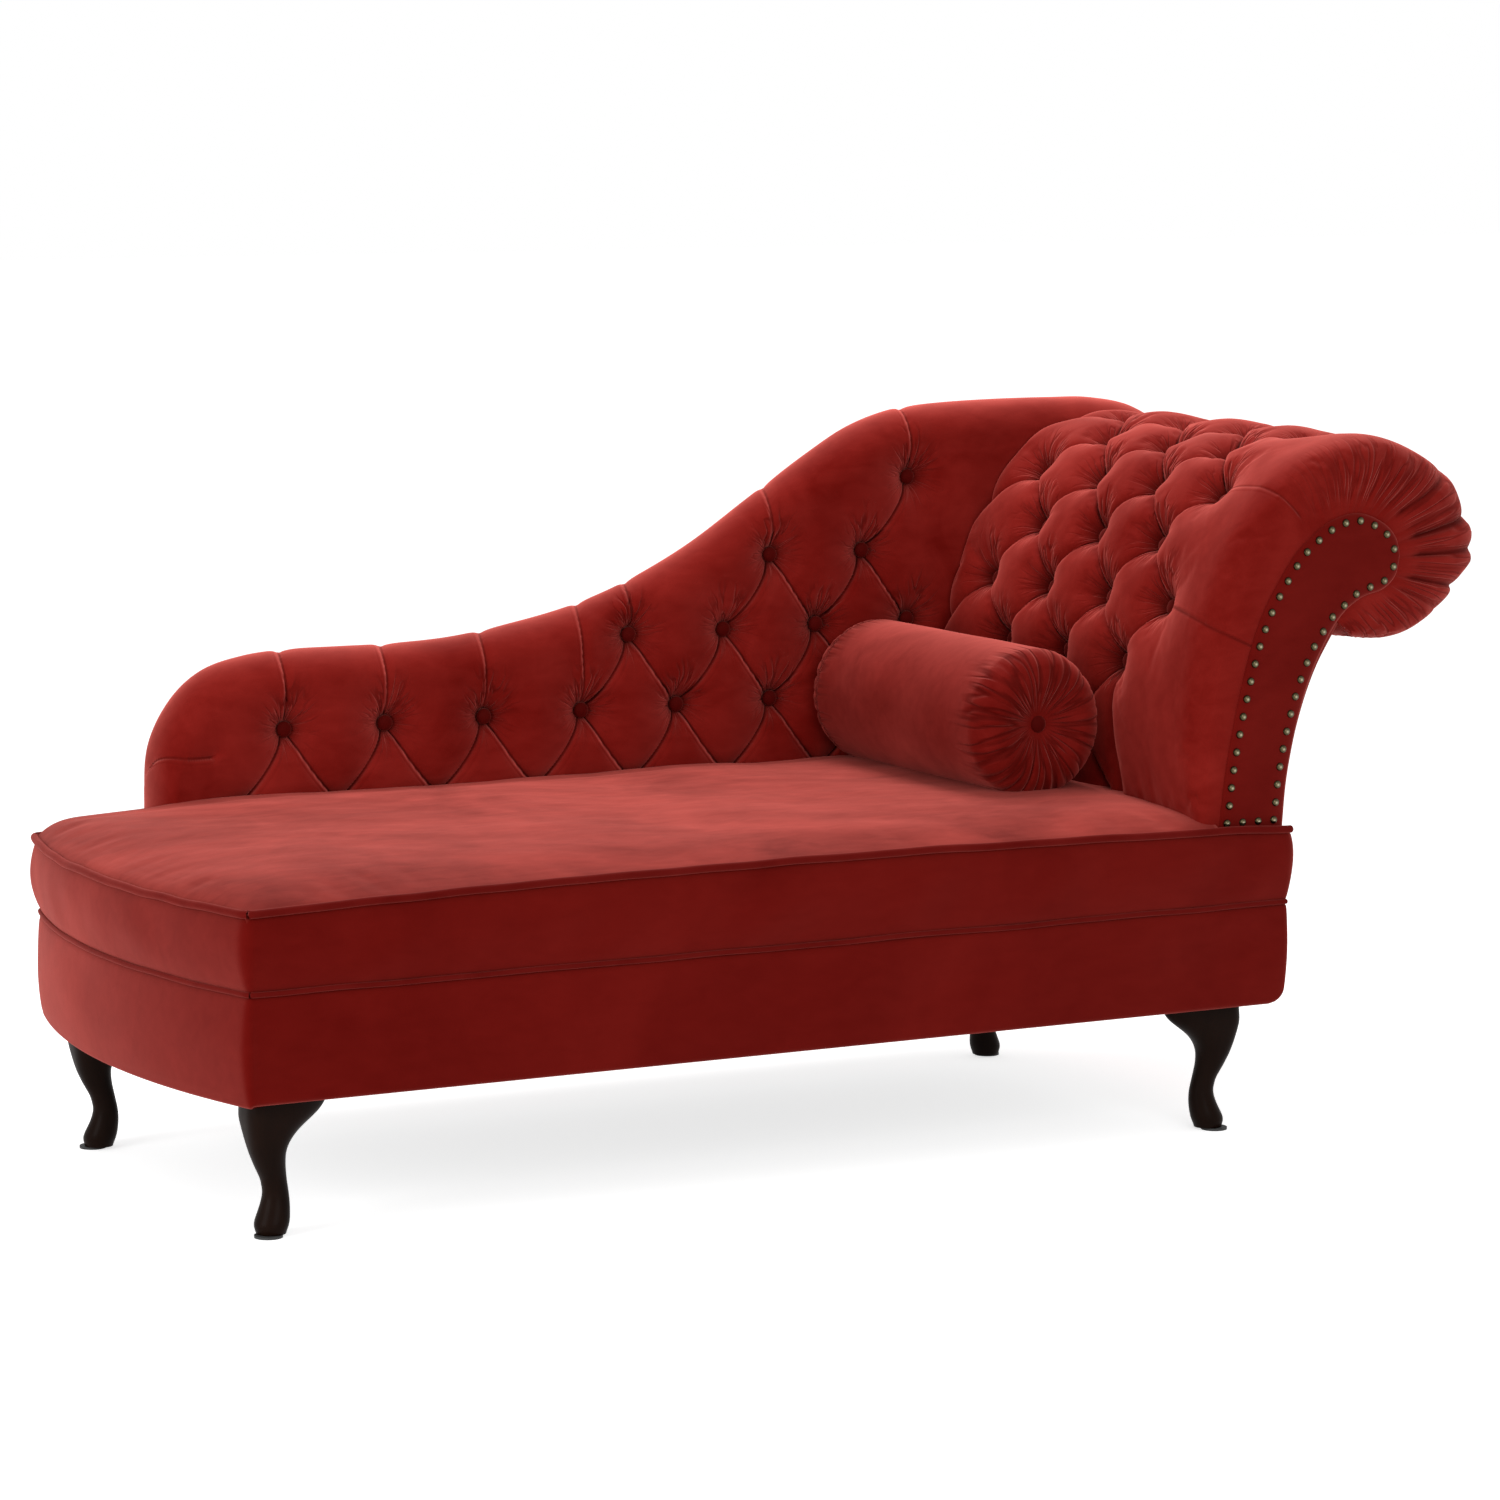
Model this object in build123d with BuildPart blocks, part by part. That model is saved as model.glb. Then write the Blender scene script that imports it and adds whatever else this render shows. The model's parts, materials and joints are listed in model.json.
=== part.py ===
from build123d import *
import os
from math import cos, pi, sin

# Recamier: a one-ended couch with a bowed foot, a scroll arm at the head and a swept, buttoned back.
# +X runs from the foot to the arm, +Y to the back and +Z up from the floor. Sizes are millimetres.

# Seat box
leg_height = 168
border_height = 132
band_height = 95
box_front = -380
box_back = 307
head_end = 582
foot_apex = -901
foot_bow = 49
border_thickness = 6
border_round = 20
band_swell = 8
band_round = 7
rail_thickness = 28
dust_thickness = 1.5
welt_radius = 5
welt_sink = 1.5
welt_corner = 14
fit_gap = 0.3

# Seat
seat_crown = 24
crown_run = 235
crown_edge = 3
pad_edge = 21
strap_thickness = 2
strap_width = 70
strap_pitch = 104
strap_count = 11
strap_clear = 60
cross_rail_height = 70
cross_rail_thickness = 24
cross_rail_count = 3

# Legs
leg_inset_foot = 50
leg_inset_head = 78
leg_inset_y = 63
leg_top_radius = 30
leg_knee_radius = 32
leg_ankle_radius = 14.5
leg_foot_radius = 23
leg_toe_out = 9
ear_reach = 64
ear_drop = 58
ear_thickness = 30
ear_tip = 7
ear_sag = 0.38
toe_share = 0.7
knee_share = 0.2
block_height = 60
block_size = 76
bolt_radius = 4
bolt_slack = 0.15
bolt_in_leg = 34
bolt_in_block = 42
glide_thickness = 3
glide_radius = 17

# Back
back_thickness = 84.5
back_pad_thickness = 40
back_board_thickness = 18
back_cover_thickness = 7
back_start = -689
back_level = 214
back_peak = 493
back_edge_round = 32
back_flat_end = 922
frame_inset = 34
post_width = 45
post_count = 4
bottom_rail_height = 45
back_bolt_count = 4
back_bolt_grip = 36
back_bolt_head = 9
back_bolt_cap = 5

# Buttoned tufts
button_radius = 11
button_height = 9
button_ease = 2
funnel_depth = 33
funnel_mouth = 35
pleat_depth = 20
pleat_half_width = 18
pleat_clear = 24
dome_sides = 8
back_button_pitch = 143
back_button_row = 98
back_first_button = 182
back_first_row = 113
back_row_starts = (0, 3, 5, 6)
back_last_column = 6
back_upward_pleats = (0, 1, 2, 3)
arm_button_pitch = 146.6
arm_button_row = 86
arm_first_button = 75
arm_first_row = 120
arm_row_count = 7
arm_wide_row = 4
plain_panel_foot = -172
plain_panel_top = 262

# Scroll arm
arm_set_back = 8
arm_board_thickness = 18
facing_thickness = 12
rib_thickness = 18
lining_thickness = 5
gather_count = 9
gather_depth = 9
gather_half_width = 9
gather_root = 9
gather_run = 80
gather_fullness = 0.3
gather_skip = 2
pad_shut = 20
pad_ease = 0.006
nail_radius = 4.75
nail_height = 3
nail_margin = 9
nail_pitch = 22.5

# Bolster
bolster_radius = 98
bolster_length = 462
bolster_gap = 9
bolster_corner = 30
bolster_dimple = 14
bolster_gathers = 14
bolster_gather_depth = 6.3
bolster_button_radius = 13
bolster_button_ease = 1

os.makedirs("parts", exist_ok=True)

# Levels and lines that several pieces share
seam_z = leg_height + border_height
welt_z = seam_z + band_height
seat_top = welt_z + seat_crown
rail_bottom = leg_height + dust_thickness
rail_top = welt_z - pad_edge - strap_thickness
pad_bottom = rail_top + strap_thickness
band_top = welt_z - welt_radius
board_top = rail_top + arm_board_thickness
mid_y = (box_front + box_back) / 2
half_depth = (box_back - box_front) / 2
bow_radius = (half_depth**2 + foot_bow**2) / (2 * foot_bow)
bow_centre = foot_apex + bow_radius
rail_inset = border_thickness + rail_thickness
front_in = box_front + border_thickness
back_in = box_back - border_thickness
front_core = box_front + rail_inset
back_core = box_back - rail_inset
head_core = head_end - rail_inset
far = 4000
over = 10
bolt_hole = bolt_radius + bolt_slack
axis_y = Vector(0, 1, 0)


def save(piece, name):
    """Label a finished piece and write it to its own file."""
    piece.label = name
    export_step(piece, f"parts/{name}.step")


def elevation(y):
    """The upright plane at depth y, seen from the front: local x is X and local y is Z."""
    return Plane.XZ.offset(-y)


def slab(low, high):
    """A plain block between two corners, used to divide or trim pieces."""
    with BuildPart() as block:
        with Locations(tuple((a + b) / 2 for a, b in zip(low, high))):
            Box(*[b - a for a, b in zip(low, high)])
    return block.part


def box_plan(inset):
    """The seat box from above: a rectangle whose foot end is cut by the circle of the bow."""
    with BuildSketch() as plan:
        with Locations((head_end - inset - far / 2, mid_y)):
            Rectangle(far, 2 * (half_depth - inset))
        with Locations((bow_centre, mid_y)):
            Circle(bow_radius - inset, mode=Mode.INTERSECT)
    return plan.sketch


def box_block(inset, bottom, top, rounding=0):
    """The seat box as a block, its bottom edges rounded under at the foot and at the head."""
    plan = box_plan(inset)
    with BuildPart() as block:
        with BuildSketch(Plane.XY.offset(bottom)):
            add(plan)
        extrude(amount=top - bottom)
        if rounding:
            low_edges = block.edges().group_by(Axis.Z)[0]
            ends = [edge for edge in low_edges if abs(edge.tangent_at(0.5).Y) > 0.9]
            fillet(ends, rounding)
    return block.part


def bow_core(inset, bottom, top):
    """The full round whose arc is the bow, inset from the foot end."""
    with BuildPart() as core:
        with BuildSketch(Plane.XY.offset(bottom)):
            with Locations((bow_centre, mid_y)):
                Circle(bow_radius - inset)
        extrude(amount=top - bottom)
    return core.part


def pleat(start, end, outward, depth, half_width):
    """A wedge that opens outward from a crease, sunk by depth below the line from start to end."""
    run = end - start
    section = Plane(origin=start, x_dir=outward.cross(run), z_dir=run)
    spread = half_width * (depth + pleat_clear) / depth
    with BuildPart() as wedge:
        with BuildSketch(section):
            with BuildLine():
                Polyline((0, -depth), (spread, pleat_clear), (-spread, pleat_clear), close=True)
            make_face()
        extrude(amount=run.length)
    return wedge.part


def funnel(point, outward):
    """The flat-bottomed, faceted cone that a button pulls into the padding below point."""
    seat = Plane(origin=point - outward * funnel_depth, z_dir=outward)
    bottom_radius = button_radius + button_ease
    slope = (funnel_mouth - bottom_radius) / funnel_depth
    height = funnel_depth + pleat_clear / 2
    with BuildPart() as cone:
        with BuildSketch(seat):
            RegularPolygon(bottom_radius, dome_sides)
        with BuildSketch(seat.offset(height)):
            RegularPolygon(bottom_radius + slope * height, dome_sides)
        loft(ruled=True)
    return cone.part


def dome(point, outward, radius, height):
    """A covered button or a nailhead: a shallow faceted dome that stands on its flat seat at point."""
    seat = Plane(origin=point, z_dir=outward)
    with BuildPart() as cap:
        for level, width in ((0, 1), (0.6, 0.86), (1, 0.4)):
            with BuildSketch(seat.offset(height * level)):
                RegularPolygon(radius * width, dome_sides)
        loft(ruled=True)
    return cap.part


# Lower border and upper band: fabric over thin padding, one panel for each side of the box
panel_zones = {
    "front": slab((-far, -far, 0), (far, front_in, far)),
    "back": slab((-far, back_in, 0), (far, far, far)),
    "foot": slab((-far, front_in, 0), (0, back_in, far)),
    "head": slab((0, front_in, 0), (far, back_in, far)),
}
border_outer = box_block(0, leg_height, seam_z, border_round)
border_inner = box_block(border_thickness, leg_height, seam_z, border_round)
for side, zone in panel_zones.items():
    with BuildPart() as border:
        add(border_outer)
        add(border_inner, mode=Mode.SUBTRACT)
        add(zone, mode=Mode.INTERSECT)
    save(border.part, f"border_{side}")

back_bolt_z = seam_z + bottom_rail_height / 2
back_bolt_span = head_end - back_start - 2 * frame_inset
back_bolt_xs = [back_start + frame_inset + back_bolt_span * (i + 0.5) / back_bolt_count
                for i in range(back_bolt_count)]
with BuildPart() as back_bolt_bores:
    with BuildSketch(elevation(box_back + back_bolt_grip)):
        with Locations([(x, back_bolt_z) for x in back_bolt_xs]):
            Circle(bolt_hole)
    extrude(amount=rail_inset + back_bolt_grip + 1)

band_outer = box_block(-band_swell, seam_z, band_top)
band_inner = box_block(border_thickness, seam_z, band_top)
behind_box = slab((-far, box_back, 0), (far, far, far))
for side, zone in panel_zones.items():
    with BuildPart() as band:
        add(band_outer)
        add(band_inner, mode=Mode.SUBTRACT)
        add(behind_box, mode=Mode.SUBTRACT)
        add(zone, mode=Mode.INTERSECT)
        low_edges = band.edges().group_by(Axis.Z)[0]
        if side == "front":
            fillet(low_edges.sort_by(Axis.Y)[0], band_round)
        if side == "foot":
            fillet(low_edges.sort_by(Axis.X)[0], band_round)
        if side == "head":
            fillet(low_edges.sort_by(Axis.X)[-1], band_round)
        if side == "back":
            add(back_bolt_bores.part, mode=Mode.SUBTRACT)
    save(band.part, f"band_{side}")

# Piping along the top of the band, from the head round the foot to the back corner
with BuildSketch() as welt_plan:
    add(box_plan(welt_sink - band_swell))
    fillet(welt_plan.vertices().group_by(Axis.X)[0], welt_corner)
welt_edges = [edge for edge in welt_plan.edges()
              if edge.center().Y < mid_y + half_depth and edge.center().X < head_end]
welt_path = Wire(welt_edges).moved(Location((0, 0, welt_z)))
with BuildPart() as welt:
    with BuildSketch(Plane(origin=welt_path @ 0, z_dir=welt_path % 0)):
        Circle(welt_radius)
    sweep(path=welt_path)
save(welt.part, "seat_welt")

# Timber rails of the box
rail_outer = box_block(border_thickness, rail_bottom, rail_top, border_round)
rail_bow = bow_core(rail_inset, rail_bottom, rail_top)
with BuildPart() as foot_rail:
    add(rail_outer)
    add(rail_bow, mode=Mode.SUBTRACT)
save(foot_rail.part, "foot_rail")

with BuildPart() as head_rail:
    add(rail_outer)
    add(slab((head_core, -far, 0), (far, far, far)), mode=Mode.INTERSECT)
save(head_rail.part, "head_rail")

with BuildPart() as front_rail:
    add(rail_bow)
    add(slab((-far, front_in, 0), (head_core, front_core, far)), mode=Mode.INTERSECT)
save(front_rail.part, "front_rail")

with BuildPart() as back_rail:
    add(rail_bow)
    add(slab((-far, back_core, 0), (head_core, back_in, far)), mode=Mode.INTERSECT)
    add(back_bolt_bores.part, mode=Mode.SUBTRACT)
save(back_rail.part, "back_rail")

cross_rail_gap = (head_core - foot_apex - rail_inset) / (cross_rail_count + 1)
for i in range(cross_rail_count):
    cross_x = foot_apex + rail_inset + cross_rail_gap * (i + 1)
    with BuildPart() as cross_rail:
        with BuildSketch(Plane.XY.offset(rail_bottom)):
            with Locations((cross_x, mid_y)):
                Rectangle(cross_rail_thickness, back_core - front_core)
        extrude(amount=cross_rail_height)
    save(cross_rail.part, f"cross_rail_{i + 1}")

# Legs with their bolts, glides and the corner blocks that hold them
leg_foot_x = foot_apex + foot_bow + leg_inset_foot
leg_head_x = head_end - leg_inset_head
leg_front_y = box_front + leg_inset_y
leg_back_y = box_back - leg_inset_y
leg_places = {
    "leg_front_foot": (leg_foot_x, leg_front_y, 1),
    "leg_front_head": (leg_head_x, leg_front_y, -1),
    "leg_back_foot": (leg_foot_x, leg_back_y, 1),
    "leg_back_head": (leg_head_x, leg_back_y, -1),
}
leg_spots = [(x, y) for x, y, inward in leg_places.values()]
with BuildPart() as leg_bolt_bores:
    with BuildSketch(Plane.XY.offset(leg_height - bolt_in_leg)):
        with Locations(leg_spots):
            Circle(bolt_hole)
    extrude(amount=bolt_in_leg + bolt_in_block)

for name, (x, y, inward) in leg_places.items():
    out_x = -inward * leg_toe_out
    out_y = leg_toe_out if y > mid_y else -leg_toe_out
    shank = leg_height - glide_thickness
    leg_rings = (
        (0, leg_foot_radius - 5, toe_share),
        (0.05, leg_foot_radius, 0.8),
        (0.13, leg_foot_radius - 4, 0.6),
        (0.27, leg_ankle_radius, 0),
        (0.45, leg_ankle_radius + 3, -0.1),
        (0.64, leg_ankle_radius + 9, 0.2),
        (0.84, leg_knee_radius, 0.55),
        (1, leg_top_radius, knee_share),
    )
    ear_edge = x + inward * (leg_top_radius - leg_toe_out)
    with BuildPart() as leg:
        for level, radius, lean in leg_rings:
            with BuildSketch(Plane.XY.offset(glide_thickness + shank * level)):
                with Locations((x + out_x * lean, y + out_y * lean)):
                    Circle(radius)
        loft()
        with BuildSketch(elevation(y + out_y * knee_share + ear_thickness / 2)):
            with BuildLine():
                tip = (x + inward * (leg_top_radius + ear_reach - leg_toe_out), leg_height)
                low = (x + inward * leg_ankle_radius * 0.5, leg_height - ear_drop)
                sag = (x + inward * (leg_top_radius + 1), leg_height - ear_drop * ear_sag)
                ThreePointArc((tip[0], leg_height - ear_tip), sag, low)
                Polyline(low, (x, leg_height), tip, (tip[0], leg_height - ear_tip))
            make_face()
        extrude(amount=ear_thickness)
        add(leg_bolt_bores.part, mode=Mode.SUBTRACT)
    save(leg.part, name)

with BuildPart() as glides:
    with BuildSketch():
        for x, y, inward in leg_places.values():
            toe_y = leg_toe_out if y > mid_y else -leg_toe_out
            with Locations((x - inward * leg_toe_out * toe_share, y + toe_y * toe_share)):
                Circle(glide_radius)
    extrude(amount=glide_thickness)
save(glides.part, "leg_glides")

with BuildPart() as leg_bolts:
    with BuildSketch(Plane.XY.offset(leg_height - bolt_in_leg)):
        with Locations(leg_spots):
            Circle(bolt_radius)
    extrude(amount=bolt_in_leg + bolt_in_block)
save(leg_bolts.part, "leg_bolts")

with BuildPart() as corner_blocks:
    with BuildSketch(Plane.XY.offset(rail_bottom)):
        for x, y in leg_spots:
            edge_y = back_core - block_size / 2 if y > mid_y else front_core + block_size / 2
            edge_x = leg_foot_x if x < 0 else head_core - block_size
            with Locations((edge_x, edge_y)):
                Rectangle(2 * block_size, block_size)
        with Locations((bow_centre, mid_y)):
            Circle(bow_radius - rail_inset, mode=Mode.INTERSECT)
    extrude(amount=block_height)
    add(leg_bolt_bores.part, mode=Mode.SUBTRACT)
save(corner_blocks.part, "corner_blocks")

dust_plan = box_plan(border_thickness + border_round + fit_gap)
with BuildPart() as dust_cover:
    with BuildSketch(Plane.XY.offset(leg_height)):
        add(dust_plan)
    extrude(amount=dust_thickness)
    add(leg_bolt_bores.part, mode=Mode.SUBTRACT)
save(dust_cover.part, "dust_cover")

# Scroll arm: points of its two outlines, measured from the head end of the box and the arm's board.
# Every second point is the middle of an arc. The facing is the bare scroll, the roll is the padded one.
facing_points = ((-101, 0), (-88, 100), (-63, 210), (-37, 282), (3, 345), (31, 373), (68, 396),
                 (108, 403), (145, 389), (165, 369), (171, 345), (165, 321), (146, 304), (110, 293),
                 (76, 266))
facing_outer = ((42, 210), (19, 148), (2, 72), (-5, 0))
roll_points = ((-126, 0), (-130, 110), (-120, 217), (-95, 300), (-56, 380), (-10.5, 437), (50, 478),
               (158, 497), (260, 459), (304, 413), (330.5, 345), (294, 284), (224, 246), (170, 236),
               (108, 243))
fold = facing_points[-1]
facing_front = box_front + arm_set_back
facing_back = facing_front + facing_thickness
arm_rear = box_back - fit_gap
seat_head = head_end + roll_points[1][0] - fit_gap


def arm_points(fullness):
    """Outline points between the bare scroll, at 0, and the full roll, at 1."""
    return [(head_end + fx + fullness * (rx - fx), board_top + fz + fullness * (rz - fz))
            for (fx, fz), (rx, rz) in zip(facing_points, roll_points)]


def arc_chain(points):
    """Arcs through each start, middle and end in turn."""
    for i in range(0, len(points) - 2, 2):
        ThreePointArc(points[i], points[i + 1], points[i + 2])


def scroll_sketch(inset, drop=0, fullness=0):
    """The bare scroll with its outer edge, inset all round but standing on the same foot line."""
    points = arm_points(fullness)
    outer = [(head_end + x, board_top + z) for x, z in facing_outer]
    foot_in = (points[0][0], board_top - drop)
    foot_out = (outer[-1][0], board_top - drop)
    with BuildSketch() as scroll:
        with BuildLine():
            arc_chain(points)
            arc_chain([points[-1]] + outer)
            if drop:
                Polyline(outer[-1], foot_out, foot_in, points[0])
            else:
                Line(outer[-1], points[0])
        make_face()
        if inset:
            offset(amount=-inset, kind=Kind.INTERSECTION, mode=Mode.REPLACE)
    return scroll.sketch


def scroll_prism(inset, front, rear, fullness=0):
    """The scroll as a solid between two depths."""
    outline = scroll_sketch(inset, inset, fullness)
    with BuildPart() as prism:
        with BuildSketch(elevation(rear)):
            add(outline)
        extrude(amount=rear - front)
    return prism.part


lining_outer = scroll_prism(0, facing_back, arm_rear)
lining_inner = scroll_prism(lining_thickness, facing_back - 1, arm_rear + 1)
fold_x = head_end + fold[0]
fold_z = board_top + fold[1]
roll_fold_x = head_end + roll_points[-1][0]
roll_fold_z = board_top + roll_points[-1][1]
hollow_x = fold_x - 2 * rib_thickness
under_x = head_end - 2 * rail_thickness
with BuildPart() as outer_side:
    with BuildSketch(elevation(far)):
        with BuildLine():
            Polyline((hollow_x, fold_z), (fold_x, fold_z), (roll_fold_x, roll_fold_z),
                     (far, 0), (under_x, 0), (under_x, board_top), close=True)
        make_face()
    extrude(amount=2 * far)
with BuildPart() as arm_lining:
    add(lining_outer)
    add(lining_inner, mode=Mode.SUBTRACT)
    add(outer_side.part, mode=Mode.SUBTRACT)
save(arm_lining.part, "arm_lining")

with BuildPart() as arm_outer_cover:
    add(lining_outer)
    add(lining_inner, mode=Mode.SUBTRACT)
    add(outer_side.part, mode=Mode.INTERSECT)
save(arm_outer_cover.part, "arm_outer_cover")

rib_rear = arm_rear - fit_gap
rib_inset = lining_thickness + fit_gap
rib_ys = (facing_back, (facing_back + rib_rear - rib_thickness) / 2, rib_rear - rib_thickness)
for rib_name, rib_y in zip(("arm_rib_front", "arm_rib_middle", "arm_rib_rear"), rib_ys):
    rib_block = scroll_prism(rib_inset, rib_y, rib_y + rib_thickness)
    with BuildPart() as rib:
        add(rib_block)
        add(arm_lining.part, mode=Mode.SUBTRACT)
    save(rib.part, rib_name)

with BuildPart() as arm_board:
    with BuildSketch(Plane.XY.offset(rail_top)):
        with Locations(((seat_head + head_end - border_thickness) / 2, mid_y)):
            Rectangle(head_end - border_thickness - seat_head, back_in - front_in)
    extrude(amount=arm_board_thickness)
save(arm_board.part, "arm_board")

save(scroll_prism(0, facing_front, facing_back), "arm_facing")

nail_outline = scroll_sketch(nail_margin)
nail_line = nail_outline.face().outer_wire()
nail_count = round(nail_line.length / nail_pitch)
nail_spots = [nail_line.position_at(i / nail_count) for i in range(nail_count)]
nail_list = [dome(Vector(spot.X, facing_front, spot.Y), -axis_y, nail_radius, nail_height)
             for spot in nail_spots]
with BuildPart() as nails:
    add(nail_list)
save(nails.part, "nailheads")

# Arm padding: the full roll behind, drawn in to the facing at the front, with buttons pulled in
with BuildLine(Plane.XZ) as roll_line:
    arc_chain(arm_points(1))
roll_wire = Wire(roll_line.edges())
gather_steps = ((facing_front + 3, 0.1), (facing_back, 0.42), (facing_back + 22, 0.7),
                (facing_back + 58, 0.92), (facing_back + 104, 1))


def roll_face(fullness):
    """The closed section of the padded scroll, shut along its hidden outer side."""
    points = arm_points(fullness)
    with BuildSketch() as section:
        with BuildLine():
            arc_chain(points)
            Polyline(points[-1], (head_end - pad_shut, board_top), points[0])
        make_face()
    return section.sketch


def roll_spot(along, y):
    """A point on the full roll, by its distance along the outline from the seat, and its normal."""
    spot = roll_wire.position_at(along, position_mode=PositionMode.LENGTH)
    run = roll_wire.tangent_at(along, position_mode=PositionMode.LENGTH)
    return Vector(spot.X, y, spot.Z), Vector(-run.Z, 0, run.X)


arm_spots = []
for row in range(arm_row_count):
    half = row % 2
    count = arm_wide_row - 1 if half or row == 0 else arm_wide_row
    ys = [box_back - arm_first_button - arm_button_pitch * (i + half / 2) for i in range(count)]
    arm_spots.append([roll_spot(arm_first_row + arm_button_row * row, y) for y in ys])

front_column = box_back - arm_first_button - (arm_wide_row - 1) * arm_button_pitch
arm_cuts = []
for row, spots in enumerate(arm_spots):
    row_cuts = [funnel(point, normal) for point, normal in spots]
    along = max(arm_first_row + arm_button_row * (row - 1), pad_edge)
    for point, normal in spots:
        for step in (-0.5, 0.5):
            y_next = point.Y + step * arm_button_pitch
            if y_next < front_column - 1:
                continue
            if row == 1 and y_next < front_column + 1:
                next_point, next_normal = roll_spot(pad_edge, plain_panel_foot)
            else:
                next_point, next_normal = roll_spot(along, y_next)
            row_cuts.append(pleat(point, next_point, normal + next_normal, pleat_depth, pleat_half_width))
    if row == 2:
        point, normal = spots[-1]
        edge_point, edge_normal = roll_spot(plain_panel_top, gather_steps[2][0])
        row_cuts.append(pleat(point, edge_point, normal + edge_normal, gather_depth, gather_half_width))
    arm_cuts.append(row_cuts)

gather_roots = [Vector(x, facing_front + gather_root, z) for x, z in arm_points(gather_fullness)]
gather_rims = [Vector(x, facing_back + gather_run, z) for x, z in arm_points(1)]
gathers = []
for root, rim in list(zip(gather_roots, gather_rims))[-gather_count - gather_skip:-gather_skip]:
    run = (rim - root).normalized()
    gathers.append(pleat(root, rim, run * axis_y.dot(run) - axis_y, gather_depth, gather_half_width))
arm_cuts.append(gathers)

full_roll = roll_face(1)
gather_faces = [(y, roll_face(fullness)) for y, fullness in gather_steps]
scroll_core = scroll_prism(0, facing_front - over, arm_rear + over, pad_ease)
with BuildPart() as arm_pad:
    with BuildSketch(elevation(arm_rear)):
        add(full_roll)
    extrude(amount=arm_rear - gather_steps[-1][0])
    for y, face in gather_faces:
        with BuildSketch(elevation(y)):
            add(face)
    loft(ruled=True)
    add(scroll_core, mode=Mode.SUBTRACT)
    add(outer_side.part, mode=Mode.SUBTRACT)
    for cuts in arm_cuts:
        add(cuts, mode=Mode.SUBTRACT)
save(arm_pad.solids().sort_by(SortBy.VOLUME)[-1], "arm_pad")

arm_button_list = [dome(point - normal * funnel_depth, normal, button_radius, button_height)
                   for spots in arm_spots for point, normal in spots]
with BuildPart() as arm_buttons:
    add(arm_button_list)
save(arm_buttons.part, "arm_buttons")

# Seat: webbing across the rails and a crowned pad that fills the box up to the arm
first_strap = seat_head - strap_clear
strap_xs = [first_strap - strap_pitch * i for i in range(strap_count)]
with BuildPart() as webbing:
    with BuildSketch(Plane.XY.offset(rail_top)):
        with Locations([(x, mid_y) for x in strap_xs]):
            Rectangle(strap_width, back_in - front_in)
    extrude(amount=strap_thickness)
save(webbing.part, "seat_webbing")

pad_plan = box_plan(border_thickness + fit_gap)
crown_low = welt_z + crown_edge
crown_foot = foot_apex + border_thickness
with BuildPart() as seat_pad:
    with BuildSketch(Plane.XY.offset(pad_bottom)):
        add(pad_plan)
    extrude(amount=far)
    with BuildSketch(Plane.YZ.offset(-far)):
        with BuildLine():
            level = Line((far, seat_top), (front_in + crown_run, seat_top))
            front_fall = TangentArc(level @ 1, (front_in, crown_low), tangent=level % 1)
            Polyline(front_fall @ 1, (front_in, 0), (far, 0), level @ 0)
        make_face()
    extrude(amount=2 * far, mode=Mode.INTERSECT)
    with BuildSketch(elevation(far)):
        with BuildLine():
            level = Line((seat_head, seat_top), (crown_foot + crown_run, seat_top))
            foot_fall = TangentArc(level @ 1, (crown_foot, crown_low), tangent=level % 1)
            Polyline(foot_fall @ 1, (crown_foot, 0), (seat_head, 0), level @ 0)
        make_face()
    extrude(amount=2 * far, mode=Mode.INTERSECT)
save(seat_pad.part, "seat_pad")

# Swept back, bolted behind the seat box
back_front = box_back + fit_gap
back_rear = box_back + back_thickness
pad_rear = back_front + back_pad_thickness
board_rear = back_rear - back_cover_thickness
board_front = board_rear - back_board_thickness
frame_foot = back_start + frame_inset + fit_gap
frame_head = head_end - frame_inset - fit_gap
bottom_rail_top = seam_z + bottom_rail_height
back_level_z = welt_z + back_level
back_turns = (  # from the head end and the peak
    (head_end - 392, welt_z + back_peak - 110),
    (head_end - 252, welt_z + back_peak - 24),
    (head_end - 152, welt_z + back_peak + 8),
    (head_end + 208, welt_z + back_peak),
    (head_end + 306, welt_z + back_peak - 118),
    (head_end + 218, welt_z + back_peak - 236),
    (head_end + 73, welt_z + back_peak - 303),
    (head_end + 8, welt_z + back_peak - 468),
)


def back_sketch(inset, drop=0):
    """The back seen from the front: a rounded foot corner, the sweep up to the head, and its scroll."""
    with BuildSketch() as outline:
        with BuildLine():
            side = Line((back_start, seam_z - drop), (back_start, back_level_z - 154))
            corner = TangentArc(side @ 1, (back_start + 54, back_level_z - 38), tangent=side % 1)
            shoulder = TangentArc(corner @ 1, (back_start + 159, back_level_z), tangent=corner % 1)
            turn = Line(shoulder @ 1, (head_end - back_flat_end, back_level_z))
            for point in back_turns:
                turn = TangentArc(turn @ 1, point, tangent=turn % 1)
            Polyline(turn @ 1, (head_end, seam_z - drop), side @ 0)
        make_face()
        if inset:
            offset(amount=-inset, kind=Kind.INTERSECTION, mode=Mode.REPLACE)
    return outline.sketch


def back_prism(inset, front, rear):
    """The back's outline as a solid between two depths, standing on the same foot line."""
    outline = back_sketch(inset, inset)
    with BuildPart() as prism:
        with BuildSketch(elevation(rear)):
            add(outline)
        extrude(amount=rear - front)
    return prism.part


back_spots = []
for row, first in enumerate(back_row_starts):
    z = welt_z + back_first_row + back_button_row * row
    half = (row % 2) / 2
    columns = range(first, back_last_column + 1)
    back_spots.append([Vector(back_start + back_first_button + back_button_pitch * (column + half),
                              back_front, z) for column in columns])

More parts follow.
